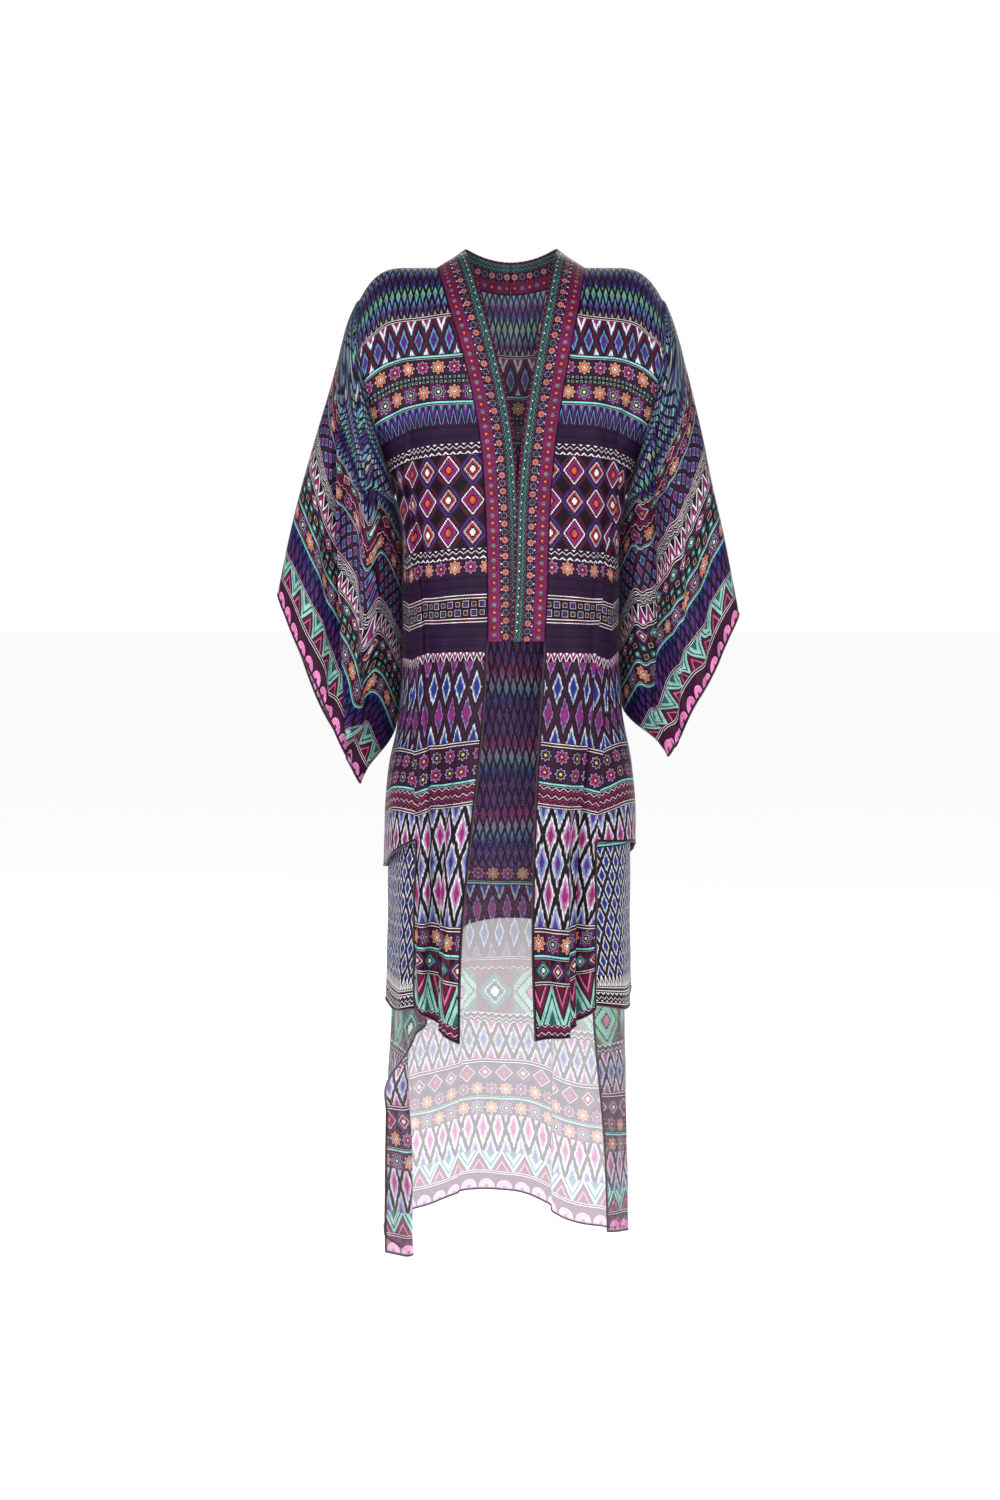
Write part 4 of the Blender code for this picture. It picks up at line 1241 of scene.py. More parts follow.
class PrintMaker:
    """Draws the strips of a print into a material's sketch."""

    feathering: float = 0.46
    ikat_soft: float = 0.045
    line_soft: float = 0.012
    full_feather: float = 0.026
    slip_tones: float = 2.6
    slip_edge: Pair = (0.66, 0.16)
    core_edge: Pair = (0.20, 0.10)
    core_share: float = 0.55
    petals: float = 8.0
    petal_depth: float = 0.09
    flower_reach: float = 0.86
    zig_slope: float = 0.8
    stair_count: float = 9.0
    stair_reach: float = 1.62
    shell_lift: float = 0.004
    shell_reach: float = 0.62
    drift_rate: Pair = (13.0, 9.0)
    streak_rate: Pair = (760.0, 48.0)
    patch_rate: Pair = (70.0, 50.0)
    fine_width: float = 0.0043
    fine_height: float = 0.0098
    fine_edge: Pair = (0.80, 0.12)
    patch_edge: Pair = (0.48, 0.12)

    def __init__(self, sketch: Sketch, drift_height: float, fine_share: float) -> None:
        """Take the cloth's coordinates and the uneven take-up of the dye along its threads.

        Args:
            sketch: Where the nodes go.
            drift_height: How far the lines of the print wander, in metres.
            fine_share: Strength of the fine lattice of dark lines.
        """
        self.fine_share = fine_share
        self.sketch = sketch
        self.across, self.along = sketch.cloth_place()
        drift = self.speckle(self.drift_rate, 0.0) - 0.5
        self.along = self.along + drift * drift_height
        self.jitter = (self.speckle(self.streak_rate, 1.0) - 0.5) * self.feathering

    def speckle(self, rate: Pair, detail: float) -> Num:
        """Noise on the cloth's own places, with a rate across and a rate along it."""
        return self.sketch.noise(self.across * rate[0], self.along * rate[1], detail)

    def draw(self, strips: Sequence[Strip]) -> Socket:
        """Strips one over the other, each from its own start onwards.

        Args:
            strips: Strips in rising order along the cloth.

        Returns:
            Colour of the print.
        """
        colour = self.motif(strips[0])
        for strip in strips[1:]:
            past = self.along.above(strip.start)
            colour = self.sketch.mix(colour, self.motif(strip), past)
        return self.sketch.mix(colour, Dye.INK.linear, self.fine_lines())

    def fine_lines(self) -> Num:
        """Share of thin dark lines, a small diamond lattice that comes and goes over the cloth.

        Returns:
            The share.
        """
        rise = self.across / self.fine_width + self.along / self.fine_height
        fall = self.across / self.fine_width - self.along / self.fine_height
        depth = abs(rise.fract() - 0.5).most(abs(fall.fract() - 0.5)) * 2.0 + self.jitter
        patches = self.speckle(self.patch_rate, 1.0)
        return depth.over(*self.fine_edge) * patches.over(*self.patch_edge) * self.fine_share

    def motif(self, strip: Strip) -> Socket:
        """Colour of one strip's motif."""
        return getattr(self, strip.motif.value[0])(strip)

    def shake(self, strip: Strip) -> Num:
        """Feathering of a strip's motif."""
        return self.jitter * strip.motif.value[1]

    def pair(self, strip: Strip, place: Num, parity: Num, soft: float) -> Socket:
        """Both colourings of a strip by a number, the second in every other cell.

        Args:
            strip: The strip.
            place: Number that the dyes follow.
            parity: 0 or 1 by cell.
            soft: Half width of the joins.

        Returns:
            The colour.
        """
        first = self.sketch.ramp(place, strip.scheme, soft)
        second = self.sketch.ramp(place, strip.other, soft)
        return self.sketch.mix(first, second, parity)

    def cell(self, strip: Strip) -> tuple[Num, Num, Num]:
        """Cells of a strip: metres from the middle of a cell across and along, and its parity.

        Args:
            strip: The strip.

        Returns:
            Place across, place along and parity.
        """
        x = self.across / strip.width
        y = (self.along - strip.start) / strip.height
        parity = (x.floor() + y.floor()) % 2.0
        return (x.fract() - 0.5) * strip.width, (y.fract() - 0.5) * strip.height, parity

    def lozenge_depth(self, strip: Strip) -> tuple[Num, Num]:
        """Diamonds that fill the strip: distance from the middle of each, and the row's parity.

        Args:
            strip: The strip.

        Returns:
            Distance from 0 to 1, and parity.
        """
        x = self.across / strip.width
        y = (self.along - strip.start) / strip.height
        rise = x + y
        fall = x - y
        depth = abs(rise.fract() - 0.5).most(abs(fall.fract() - 0.5)) * 2.0
        row = (rise.floor() - fall.floor()) % 2.0
        return depth, row

    def lozenge(self, strip: Strip) -> Socket:
        """Feathered diamonds in two colourings by row.

        Args:
            strip: The strip.

        Returns:
            Its colour.
        """
        depth, row = self.lozenge_depth(strip)
        depth = depth + self.shake(strip) * min(1.0, strip.width / self.full_feather)
        return self.pair(strip, depth, row, self.ikat_soft)

    def feather(self, strip: Strip) -> Socket:
        """Narrow feathered slips on a dark ground, their dye changing along the cloth.

        Args:
            strip: The strip.

        Returns:
            Its colour.
        """
        depth, _ = self.lozenge_depth(strip)
        tone = (self.along - strip.start) / (strip.height * self.slip_tones) + self.shake(strip)
        dyed = self.sketch.ramp(tone.fract(), strip.scheme, self.ikat_soft)
        inside = (depth + self.jitter).below(*self.slip_edge)
        core = (depth + self.jitter).below(*self.core_edge)
        slip = self.sketch.mix(Dye.INK.linear, dyed, inside)
        return self.sketch.mix(slip, Dye.PLUM.linear, core * self.core_share)

    def rosette(self, strip: Strip) -> Socket:
        """Round flowers: the distance from the middle over a radius that waves with the angle.

        Args:
            strip: The strip.

        Returns:
            Its colour.
        """
        x, y, parity = self.cell(strip)
        angle = self.sketch.math("ARCTAN2", y, x)
        wave = self.sketch.math("COSINE", angle * self.petals) * self.petal_depth + 0.50
        reach = self.sketch.math("SQRT", x * x + y * y) / (wave * min(strip.width, strip.height))
        reach = reach * self.flower_reach + self.shake(strip)
        return self.pair(strip, reach, parity, self.line_soft)

    def zigzag(self, strip: Strip) -> Socket:
        """Stripes whose place along moves up and down with the place across.

        Args:
            strip: The strip.

        Returns:
            Its colour.
        """
        swing = self.sketch.math("PINGPONG", self.across, strip.width * 0.5)
        place = (self.along - strip.start + swing * self.zig_slope) / strip.height
        return self.sketch.ramp((place + self.shake(strip)).fract(), strip.scheme, self.line_soft)

    def steps(self, strip: Strip) -> Socket:
        """Stepped diamonds: the whole steps from the middle across and along, added.

        Args:
            strip: The strip.

        Returns:
            Its colour.
        """
        x, y, parity = self.cell(strip)
        right = (abs(x) * (2.0 * self.stair_count / strip.width)).floor()
        up = (abs(y) * (2.0 * self.stair_count / strip.height)).floor()
        place = (right + up) / (self.stair_count * self.stair_reach) + self.shake(strip)
        return self.pair(strip, place, parity, self.line_soft)

    def teeth(self, strip: Strip) -> Socket:
        """Row of triangles: the swing across against the rise along.

        Args:
            strip: The strip.

        Returns:
            Its colour.
        """
        half = strip.width * 0.5
        swing = self.sketch.math("PINGPONG", self.across, half) / half
        rise = ((self.along - strip.start) / strip.height).fract()
        place = (swing - rise + self.shake(strip)) * 0.5 + 0.5
        return self.sketch.ramp(place, strip.scheme, self.line_soft)

    def stripes(self, strip: Strip) -> Socket:
        """Lines along the strip."""
        place = ((self.along - strip.start) / strip.height + self.shake(strip)).fract()
        return self.sketch.ramp(place, strip.scheme, self.line_soft)

    def scallop(self, strip: Strip) -> Socket:
        """Half rounds that stand on the edge of the cloth.

        Args:
            strip: The strip.

        Returns:
            Its colour.
        """
        x = ((self.across / strip.width).fract() - 0.5) * strip.width
        y = self.along - self.shell_lift
        reach = self.sketch.math("SQRT", x * x + y * y) / (strip.width * self.shell_reach)
        return self.sketch.ramp(reach + self.shake(strip), strip.scheme, self.line_soft)

    def checks(self, strip: Strip) -> Socket:
        """Small checks in two colourings.

        Args:
            strip: The strip.

        Returns:
            Its colour.
        """
        x, y, parity = self.cell(strip)
        depth = abs(x / strip.width).most(abs(y / strip.height)) * 2.0
        return self.pair(strip, depth, parity, self.line_soft)


# Finishes


def new_material(name: str) -> tuple[bpy.types.Material, Sketch, bpy.types.Node]:
    """New material with a plain shader.

    Args:
        name: Name of the material.

    Returns:
        The material, its sketch and its shader.
    """
    material = bpy.data.materials.new(name)
    material.use_nodes = True
    tree = material.node_tree
    return material, Sketch(tree), tree.nodes["Principled BSDF"]


@dataclass(frozen=True)
class ClothFinish:
    """Printed silk crepe: its print, how pale its wrong side is (a paler dye, with painted light for the
    glow of light through the sheer silk), its gloss and how sheer it is.
    """

    name: str
    strips: tuple[Strip, ...]
    pale: float = 0.0
    cover: float = 1.0
    dense_cover: float = 0.58
    roughness: float = 0.52
    roughness_span: float = 0.12
    specular: float = 0.12
    sheen: float = 0.03
    sheen_roughness: float = 0.35
    drift: float = 0.007
    fine_share: float = 0.55
    hem_edge: Pair = (0.0030, 0.0006)
    hem_pale: float = 0.35
    wear_rate: float = 46.0
    wear_share: float = 0.20
    grain_pitch: float = 0.00075
    grain_run: float = 420.0
    grain_depth: float = 0.00012
    grain_strength: float = 0.35

    def make(self) -> bpy.types.Material:
        """Material of the finish: print, dark rolled edge, a lighter wrong side (partly its paler dye,
        partly painted light for the glow of light shining through the silk) and crepe grain.

        Returns:
            The material.
        """
        material, sketch, shader = new_material(self.name)
        maker = PrintMaker(sketch, self.drift, self.fine_share)
        colour = maker.draw(self.strips)
        worn = maker.speckle((self.wear_rate, self.wear_rate), 2.0)
        colour = sketch.mix(colour, Dye.INK.linear, worn * self.wear_share)
        # Painted light: the wrong side is lightened partly for its paler dye and partly for the glow of
        # light shining through the sheer silk into the hollow.
        colour = sketch.lighten(colour, 1.0 - self.pale)
        edge = sketch.attribute(HEM_ATTRIBUTE).below(*self.hem_edge)
        colour = sketch.mix(colour, Dye.INK.linear, edge * (1.0 - self.hem_pale * self.pale))
        sketch.put(shader.inputs["Base Color"], colour)
        fine = 1.0 / self.grain_pitch
        warp = maker.speckle((fine, self.grain_run), 0.0)
        weft = maker.speckle((self.grain_run, fine), 0.0)
        sketch.bump(shader, warp + weft, self.grain_strength, self.grain_depth)
        least = self.roughness - 0.5 * self.roughness_span
        sketch.put(shader.inputs["Roughness"], worn * self.roughness_span + least)
        shader.inputs["Sheen Weight"].default_value = self.sheen
        shader.inputs["Sheen Roughness"].default_value = self.sheen_roughness
        shader.inputs["Specular IOR Level"].default_value = self.specular
        shader.inputs["Alpha"].default_value = self.cover
        return material

    def wrong_side(self, pale: float) -> ClothFinish:
        """The same cloth seen from its paler side, lightened partly as a painted glow of light shining
        through it.
        """
        return replace(self, name=self.name + "_wrong", pale=pale, roughness=self.roughness + 0.08)


@dataclass(frozen=True)
class HemFinish:
    """Dark rolled hem with fine slanting whip stitches along it."""

    name: str = "rolled_hem"
    stitch_pitch: float = 0.0022
    stitch_slant: float = 0.8
    stitch_edge: Pair = (0.16, 0.10)
    stitch_share: float = 0.7
    stitch_depth: float = 0.0003
    relief: float = 0.5
    roughness: float = 0.6
    sheen: float = 0.2

    def make(self) -> bpy.types.Material:
        """Material of the hem.

        Returns:
            The material.
        """
        material, sketch, shader = new_material(self.name)
        across, along = sketch.cloth_place()
        slant = ((along + across * self.stitch_slant) / self.stitch_pitch).fract()
        stitch = abs(slant - 0.5).below(*self.stitch_edge)
        colour = sketch.mix(Dye.INK.linear, Dye.WINE.linear, stitch * self.stitch_share)
        sketch.put(shader.inputs["Base Color"], colour)
        sketch.bump(shader, stitch, self.relief, self.stitch_depth)
        shader.inputs["Roughness"].default_value = self.roughness
        shader.inputs["Sheen Weight"].default_value = self.sheen
        return material


@dataclass(frozen=True)
class CrystalFinish:
    """Small clear faceted crystals."""

    name: str = "clear_crystal"
    tint_rate: Pair = (90.0, 400.0)
    dim: Colour = (0.62, 0.66, 0.74, 1.0)
    bright: Colour = (0.96, 0.96, 0.98, 1.0)
    roughness: float = 0.06
    specular: float = 0.9
    coat: float = 0.6

    def make(self) -> bpy.types.Material:
        """Material of the crystals: pale and glossy, with slightly different tints.

        Returns:
            The material.
        """
        material, sketch, shader = new_material(self.name)
        across, along = sketch.cloth_place()
        tint = sketch.noise(along * self.tint_rate[0], across * self.tint_rate[1], 0.0)
        sketch.put(shader.inputs["Base Color"], sketch.mix(self.dim, self.bright, tint))
        shader.inputs["Roughness"].default_value = self.roughness
        shader.inputs["Specular IOR Level"].default_value = self.specular
        shader.inputs["Coat Weight"].default_value = self.coat
        return material


# Meshes from grids


@dataclass
class ClothGrid:
    """Panel as a grid: its points, cloth coordinates in metres and distance to a free edge."""

    points: Array
    chart: Array
    hem: Array
    dense: Array | None = None

    def faced(self, away_from: Array) -> ClothGrid:
        """The same grid, with its columns reversed if its faces point at a place inside.

        Args:
            away_from: Points inside, one for each point of the grid or for all.

        Returns:
            A grid whose faces point away from there.
        """
        outward = np.sum(grid_normals(self.points) * (self.points - away_from))
        if outward >= 0.0:
            return self
        dense = None if self.dense is None else self.dense[:, ::-1]
        return ClothGrid(self.points[:, ::-1], self.chart[:, ::-1], self.hem[:, ::-1], dense)


@dataclass
class ClothShop:
    """Makes pieces from grids and files them with the frame."""

    thickness: float = 0.0005
    hem_radius: float = 0.00115
    hem_sides: int = 8
    finished: list[Piece] = field(default_factory=list)

    def file(self, piece: Piece, node: str | None) -> None:
        """Put a piece on the root body and hide the node that it stands for.

        Args:
            piece: The piece.
            node: Node that it stands for, if any.
        """
        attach(piece, "root")
        if node is not None:
            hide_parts(node)
        self.finished.append(piece)
        LOG.info("%s: %d faces", piece.name, len(piece.data.polygons))

    def mesh(self, name: str, points: Array, faces: list, chart: Array) -> Piece:
        """Smooth mesh object with cloth coordinates.

        Args:
            name: Name of the piece.
            points: Points, one a row.
            faces: Point numbers of each face.
            chart: Cloth coordinates of each point.

        Returns:
            The object, linked to the scene.
        """
        mesh = bpy.data.meshes.new(name)
        mesh.from_pydata(points.tolist(), [], faces)
        corners = np.empty(len(mesh.loops), dtype=np.int32)
        mesh.loops.foreach_get("vertex_index", corners)
        layer = mesh.uv_layers.new(name=CLOTH_UV)
        layer.data.foreach_set("uv", chart[corners].astype(np.float32).ravel())
        mesh.polygons.foreach_set("use_smooth", np.ones(len(mesh.polygons), dtype=bool))
        mesh.update()
        piece = bpy.data.objects.new(name, mesh)
        bpy.context.scene.collection.objects.link(piece)
        return piece

    def panel(self, name: str, grid: ClothGrid, finish: ClothFinish, pale: float, slot: str) -> Piece:
        """Thin closed shell on a grid, printed outside and paler inside, partly as a painted glow of
        light shining through.

        Args:
            name: Name of the piece and of the node that it stands for.
            grid: The panel, its faces pointing outward.
            finish: Cloth of its face.
            pale: How pale its wrong side is, partly paler dye and partly a painted glow of light shining
                through.
            slot: Not used.

        Returns:
            The panel.
        """
        rows, columns = grid.points.shape[:2]
        index = np.arange(rows * columns).reshape(rows, columns)
        corners = [index[:-1, :-1], index[:-1, 1:], index[1:, 1:], index[1:, :-1]]
        faces = np.stack(corners, axis=-1).reshape(-1, 4)
        piece = self.mesh(
            name + "_cloth", grid.points.reshape(-1, 3), faces.tolist(), grid.chart.reshape(-1, 2)
        )
        kept = piece.data.attributes.new(HEM_ATTRIBUTE, "FLOAT", "POINT")
        kept.data.foreach_set("value", grid.hem.astype(np.float32).ravel())
        piece.data.materials.append(shared_material(finish))
        piece.data.materials.append(shared_material(finish.wrong_side(pale)))
        if grid.dense is not None:
            thick = replace(finish, name=finish.name + "_dense", cover=finish.dense_cover)
            piece.data.materials.append(shared_material(thick))
            piece.data.materials.append(shared_material(thick.wrong_side(pale)))
            flags = grid.dense[:-1, :-1] & grid.dense[1:, 1:]
            piece.data.polygons.foreach_set("material_index", np.where(flags, 2, 0).ravel())
        wall = piece.modifiers.new("cloth", "SOLIDIFY")
        wall.thickness = self.thickness
        wall.offset = 0.0
        wall.use_even_offset = False
        wall.material_offset = 1
        wall.material_offset_rim = 0
        self.file(piece, name)
        return piece

    def rolled_hem(self, name: str, path: Array, normals: Array, slot: str) -> Piece:
        """Rolled hem: a circle carried along a free edge, square to it.

        Args:
            name: Name of the piece.
            path: Points along the edge.
            normals: Normals of the cloth there.
            slot: Not used.

        Returns:
            The hem.
        """
        ahead = unit(np.gradient(path, axis=0))
        aside = unit(normals - ahead * np.sum(normals * ahead, axis=1, keepdims=True))
        angle, ring = circle(aside, np.cross(ahead, aside), self.hem_sides)
        points = path[:, None] + self.hem_radius * ring
        faces = ring_faces(1, len(path), self.hem_sides)
        chart = point_grid((self.hem_radius * angle)[None, :], run_length(path[:, None], 0))
        piece = self.mesh(name, points.reshape(-1, 3), faces, chart.reshape(-1, 2))
        piece.data.materials.append(shared_material(HemFinish()))
        self.file(piece, None)
        return piece


def shared_material(finish: ClothFinish | HemFinish | CrystalFinish) -> bpy.types.Material:
    """Material of a finish, made once."""
    return bpy.data.materials.get(finish.name) or finish.make()


def bottom_run(grid: Array, first_row: int, last_row: int | None = None) -> Array:
    """Free edge of a grid: down its first column, along its last row, up its last column.

    Args:
        grid: Points or normals of the panel.
        first_row: Row where the first column's free edge starts.
        last_row: Row where the last column's free edge ends, the same if None.

    Returns:
        The edge as one run.
    """
    end = first_row if last_row is None else last_row
    return np.concatenate([grid[first_row:, 0], grid[-1, 1:-1], grid[end:, -1][::-1]])


# Pieces of the kimono


@dataclass
class FrontPanel:
    """Long front that hangs from the shoulder and band to a slanted hem."""

    side: Side
    flat: Pair = (0.190, 1.050)
    area: float = 0.130
    arm_rows: int = 44
    side_rows: int = 70
    skirt_rows: int = 60
    columns: int = 97
    panel_width: float = 0.110
    band_end: float = 0.507
    fold_place: float = 0.45
    pale: float = 0.34
    print_length: float = 1.020
    print_lean: float = 0.45
    lean_loss: float = 0.6
    crease_share: float = 2.4
    ripple_height: float = 0.0006
    flare: float = 0.004
    slit_ease: float = 0.10
    band_ease: float = 0.12
    band_hold: float = 0.16
    side_hold: float = 0.80
    shoulder_hold: float = 0.05

    def hem_drop(self, across: Array) -> Array:
        """Drop of the hem, straight between inner edge, fold and outer edge."""
        return np.interp(across, (0.0, self.fold_place, 1.0), FRONT_HEMS[self.side])

    def grid(self) -> ClothGrid:
        """Front with its long folds and short creases moved out along its normals.

        Returns:
            The panel's grid.
        """
        across = np.linspace(0.0, 1.0, self.columns)[None, :]
        slit = FORM.slit_drop
        seamed = FORM.seam_drops(self.arm_rows, self.side_rows)[:, None]
        share = np.linspace(0.0, 1.0, self.skirt_rows + 1)[1:, None]
        skirt = slit + (self.hem_drop(across) - slit) * share
        drop = np.concatenate([seamed + 0.0 * across, skirt])
        placed, laps = lapped(FRONT_PLEATS[self.side], across, drop, 1.0)
        points = FORM.front(self.side, placed, drop)
        outward = -self.side.value * grid_normals(FORM.front(self.side, across, drop))
        free = smooth_step(slit, slit + self.slit_ease, drop)
        held = 1.0 - smooth_step(self.side_hold, 1.0, across) * (1.0 - free)
        below_band = smooth_step(self.band_end, self.band_end + self.band_ease, drop)
        held = held * np.maximum(smooth_step(0.0, self.band_hold, across), below_band)
        lift = fold_height(FRONT_FOLDS[self.side], across, drop)
        creases = crease_height(FRONT_CREASES[self.side], across, drop, self.panel_width)
        waves = ripple(across * self.panel_width, drop, self.side.value)
        lift = lift + self.crease_share * creases + self.ripple_height * waves
        lift = (lift + laps) * held * smooth_step(0.0, self.shoulder_hold, drop)
        points = points + outward * (lift + self.flare * free)[..., None]
        inner = follow(EDGES[self.side], "inner", np.minimum(drop[:, :1], self.band_end))
        run = run_length(points, 1)
        row_place = np.concatenate([seamed, slit + (self.print_length - slit) * share])
        lean = self.print_lean * (1.0 - self.lean_loss * smooth_step(slit, 1.0, drop))
        along = row_place + lean * (run_length(points, 0) - row_place)
        chart = point_grid(inner + run, along)
        from_hem = run_length(points[::-1], 0)[::-1]
        hem = np.minimum(from_hem, run + SEWN * (drop < self.band_end))
        hem = np.minimum(hem, run[:, -1:] - run + SEWN * (drop < slit))
        return ClothGrid(points, chart, hem)

    def build(self, shop: ClothShop, finish: ClothFinish) -> None:
        """Make the panel and its hem.

        Args:
            shop: Maker of pieces.
            finish: Cloth of the panel.
        """
        grid = self.grid()
        first = int(np.argmax(-grid.points[:, 0, 2] > self.band_end))
        last = self.arm_rows + self.side_rows
        path = bottom_run(grid.points, first, last)
        normals = bottom_run(grid_normals(grid.points), first, last)
        axis = grid.points * UPRIGHT
        name = "front_" + self.side.word
        panel = shop.panel(name, grid.faced(axis), finish, self.pale, "front_cloth")
        hem = shop.rolled_hem(name + "_hem", path, normals, "front_cloth")


@dataclass
class BackLayer:
    """One of the three layers of the back; lower ones hang inside the outer one."""

    name: str
    steps: int
    slot: str
    flat: Pair
    area: float
    skirt_rows: int = 0
    edges: tuple[LayerEdge, ...] | None = None
    turn: Turn | None = None
    pale: float = 0.42
    arm_rows: int = 44
    side_rows: int = 70
    seamed_rows: int = 40
    columns: int = 241
    seam_drop: float = 0.440
    step: float = 0.0065
    seat: float = 0.0017
    ease: float = 0.070
    tuck: float = 0.0080
    tuck_zone: Pair = (0.60, 0.90)
    tuck_ease: float = 0.20
    side_ease: float = 0.0016
    side_zone: Pair = (0.40, 0.70)
    side_hold: Pair = (0.80, 0.98)
    neck_hold: Pair = (0.02, 0.08)
    print_hem: float = 0.0
    print_lean: float = 0.45
    sheet_width: float = 0.330
    crease_share: float = 2.2
    ripple_height: float = 0.0006
    ripple_seed: float = 0.4
    backed: float = 0.0
    forward: float = 0.45
    roll_ease: float = 0.05
    faced_out: Pair = (-0.60, 0.80)

    def top(self, across: Array) -> Array:
        """Drop of the top edge: a neckline scooped between the shoulders."""
        place = np.clip(np.abs(across) * FORM.shoulder_reach / FORM.neck_half, 0.0, 1.0)
        return FORM.neck_drop * (1.0 - place**2)

    def drops(self, across: Array) -> ArrayPair:
        """Drop of each point and the place of each row along the cloth.

        Args:
            across: Shares across, one row.

        Returns:
            Drops, and row places in metres.
        """
        slit = FORM.slit_drop
        hem = follow(HEMS, self.name, across)
        if self.steps == 0:
            rows = FORM.seam_drops(self.arm_rows, self.side_rows)[:, None]
            top = self.top(across)
            return top + (hem - top) * rows / slit, rows
        seamed = np.linspace(self.seam_drop, slit, self.seamed_rows + 1)[:, None]
        share = np.linspace(0.0, 1.0, self.skirt_rows + 1)[1:, None]
        skirt = slit + (hem - slit) * share
        if self.backed > 0.0:
            over = follow(HEMS, "back_middle", across)
            above = slit + (over - slit) * share / self.backed
            below = over + (hem - over) * (share - self.backed) / (1.0 - self.backed)
            skirt = np.where(share <= self.backed, above, below)
        drop = np.concatenate([seamed + 0.0 * across, skirt])
        printed = slit + (self.print_hem - slit) * (drop - slit) / (hem - slit)
        return drop, np.where(drop < slit, drop, printed)

    def inset(self, across: Array, drop: Array) -> Array:
        """How far the layer hangs inside the outer one: seated at its seam, then standing off.

        Args:
            across: Share across the layer.
            drop: Drop of each point.

        Returns:
            Insets in metres.
        """
        spread = smooth_step(0.0, self.ease, drop - self.seam_drop)
        inset = self.steps * (self.seat + (self.step - self.seat) * spread)
        if self.steps == 0:
            return inset
        free = smooth_step(FORM.slit_drop - self.tuck_ease, FORM.slit_drop, drop)
        inset = inset + self.tuck * free * smooth_step(*self.tuck_zone, np.abs(across))
        return inset + self.side_ease * self.steps * smooth_step(*self.side_zone, np.abs(across))

    def grid(self) -> ClothGrid:
        """Layer with the folds and creases that all three share.

        Returns:
            The layer's grid.
        """
        across = np.linspace(-1.0, 1.0, self.columns)[None, :]
        drop, rows = self.drops(across)
        placed, laps = lapped(BACK_PLEATS, across, drop, 2.0)
        inset = self.inset(across, drop)
        points = FORM.back(placed, drop, inset, self.edges)
        outward = grid_normals(FORM.back(across, drop, inset, self.edges))
        lift = laps + fold_height(BACK_FOLDS, across, drop)
        lift = lift + self.crease_share * crease_height(BACK_CREASES, across, drop, self.sheet_width)
        lift = lift + self.ripple_height * ripple(across * self.sheet_width, drop, self.ripple_seed)
        held = 1.0 - smooth_step(*self.side_hold, np.abs(across))
        lift = lift * held * smooth_step(*self.neck_hold, drop)
        points = points + outward * lift[..., None]
        run = run_length(points, 1)
        middle = run[:, self.columns // 2][:, None]
        if self.turn is not None:
            points = self.rolled(points, across, drop)
        along = self.print_hem - rows
        if self.steps == 0:
            along = rows + self.print_lean * (run_length(points, 0) + self.top(across) - rows)
        chart = point_grid(run - middle, along)
        from_hem = run_length(points[::-1], 0)[::-1]
        hem = np.minimum(run, run[:, -1:] - run) + SEWN * (drop < FORM.slit_drop)
        hem = np.minimum(from_hem, hem)
        return ClothGrid(points, chart, hem, self.dense(across, len(points)))

    def dense(self, across: Array, rows: int) -> Array | None:
        """Where a sheer layer looks dense: backed by the others, or turned with its face out.

        Args:
            across: Shares across.
            rows: Rows of the grid.

        Returns:
            A flag for each point, or None for a layer that isn't sheer.
        """
        if self.backed == 0.0:
            return None
        last = self.seamed_rows + round(self.backed * self.skirt_rows)
        backed = np.arange(rows)[:, None] <= last
        return backed | (across < self.faced_out[0]) | (across > self.faced_out[1])

    def rolled(self, points: Array, across: Array, drop: Array) -> Array:
        """Right-hand strip rolled back from a bend line, its far side leaned to the front.

        The heading turns evenly over the bend and is then straight, and the turn grows with the
        drop, so each point lies on an arc and a straight run from the bend line. The lean makes
        the strip slightly wider than its cloth.

        Args:
            points: The layer before rolling.
            across: Shares across.
            drop: Drop of each point.

        Returns:
            The layer with its strip rolled.
        """
        turn = self.turn
        first = int(np.sum(across[0] <= turn.across + 1e-6)) - 1
        hinge = points[:, first]
        ahead = hinge - points[:, first + 1]
        ahead = unit(ahead * (1.0 - UPRIGHT))
        away = np.cross(ahead, UPRIGHT)
        away = unit(away + self.forward * np.array([0.0, -1.0, 0.0]))
        grow = smooth_step(turn.start_drop, turn.full_drop, drop[:, first])[:, None]
        angle = np.maximum(np.radians(turn.degrees) * grow, 1e-4)
        strip = points[:, :first]
        length = np.linalg.norm((strip - hinge[:, None])[..., :2], axis=2)
        bent = np.minimum(length, turn.bend)
        past = length - bent
        heading = angle * bent / turn.bend
        forth = turn.bend / angle * np.sin(heading) + past * np.cos(heading)
        aside = turn.bend / angle * (1.0 - np.cos(heading)) + past * np.sin(heading)
        rolled = hinge[:, None] + ahead[:, None] * forth[..., None] + away[:, None] * aside[..., None]
        rolled[..., 2] = strip[..., 2]
        share = smooth_step(0.0, self.roll_ease, grow)[..., None]
        out = points.copy()
        out[:, :first] = strip * (1.0 - share) + rolled * share
        return out

    def build(self, shop: ClothShop, finish: ClothFinish) -> None:
        """Make the layer and its hem.

        Args:
            shop: Maker of pieces.
            finish: Cloth of the layer.
        """
        grid = self.grid()
        normals = grid_normals(grid.points)
        start = len(grid.points) - 1 if self.steps == 0 else self.seamed_rows
        path = bottom_run(grid.points, start)
        axis = grid.points * UPRIGHT
        panel = shop.panel(self.name, grid.faced(axis), finish, self.pale, self.slot)
        hem = shop.rolled_hem(self.name + "_hem", path, bottom_run(normals, start), self.slot)


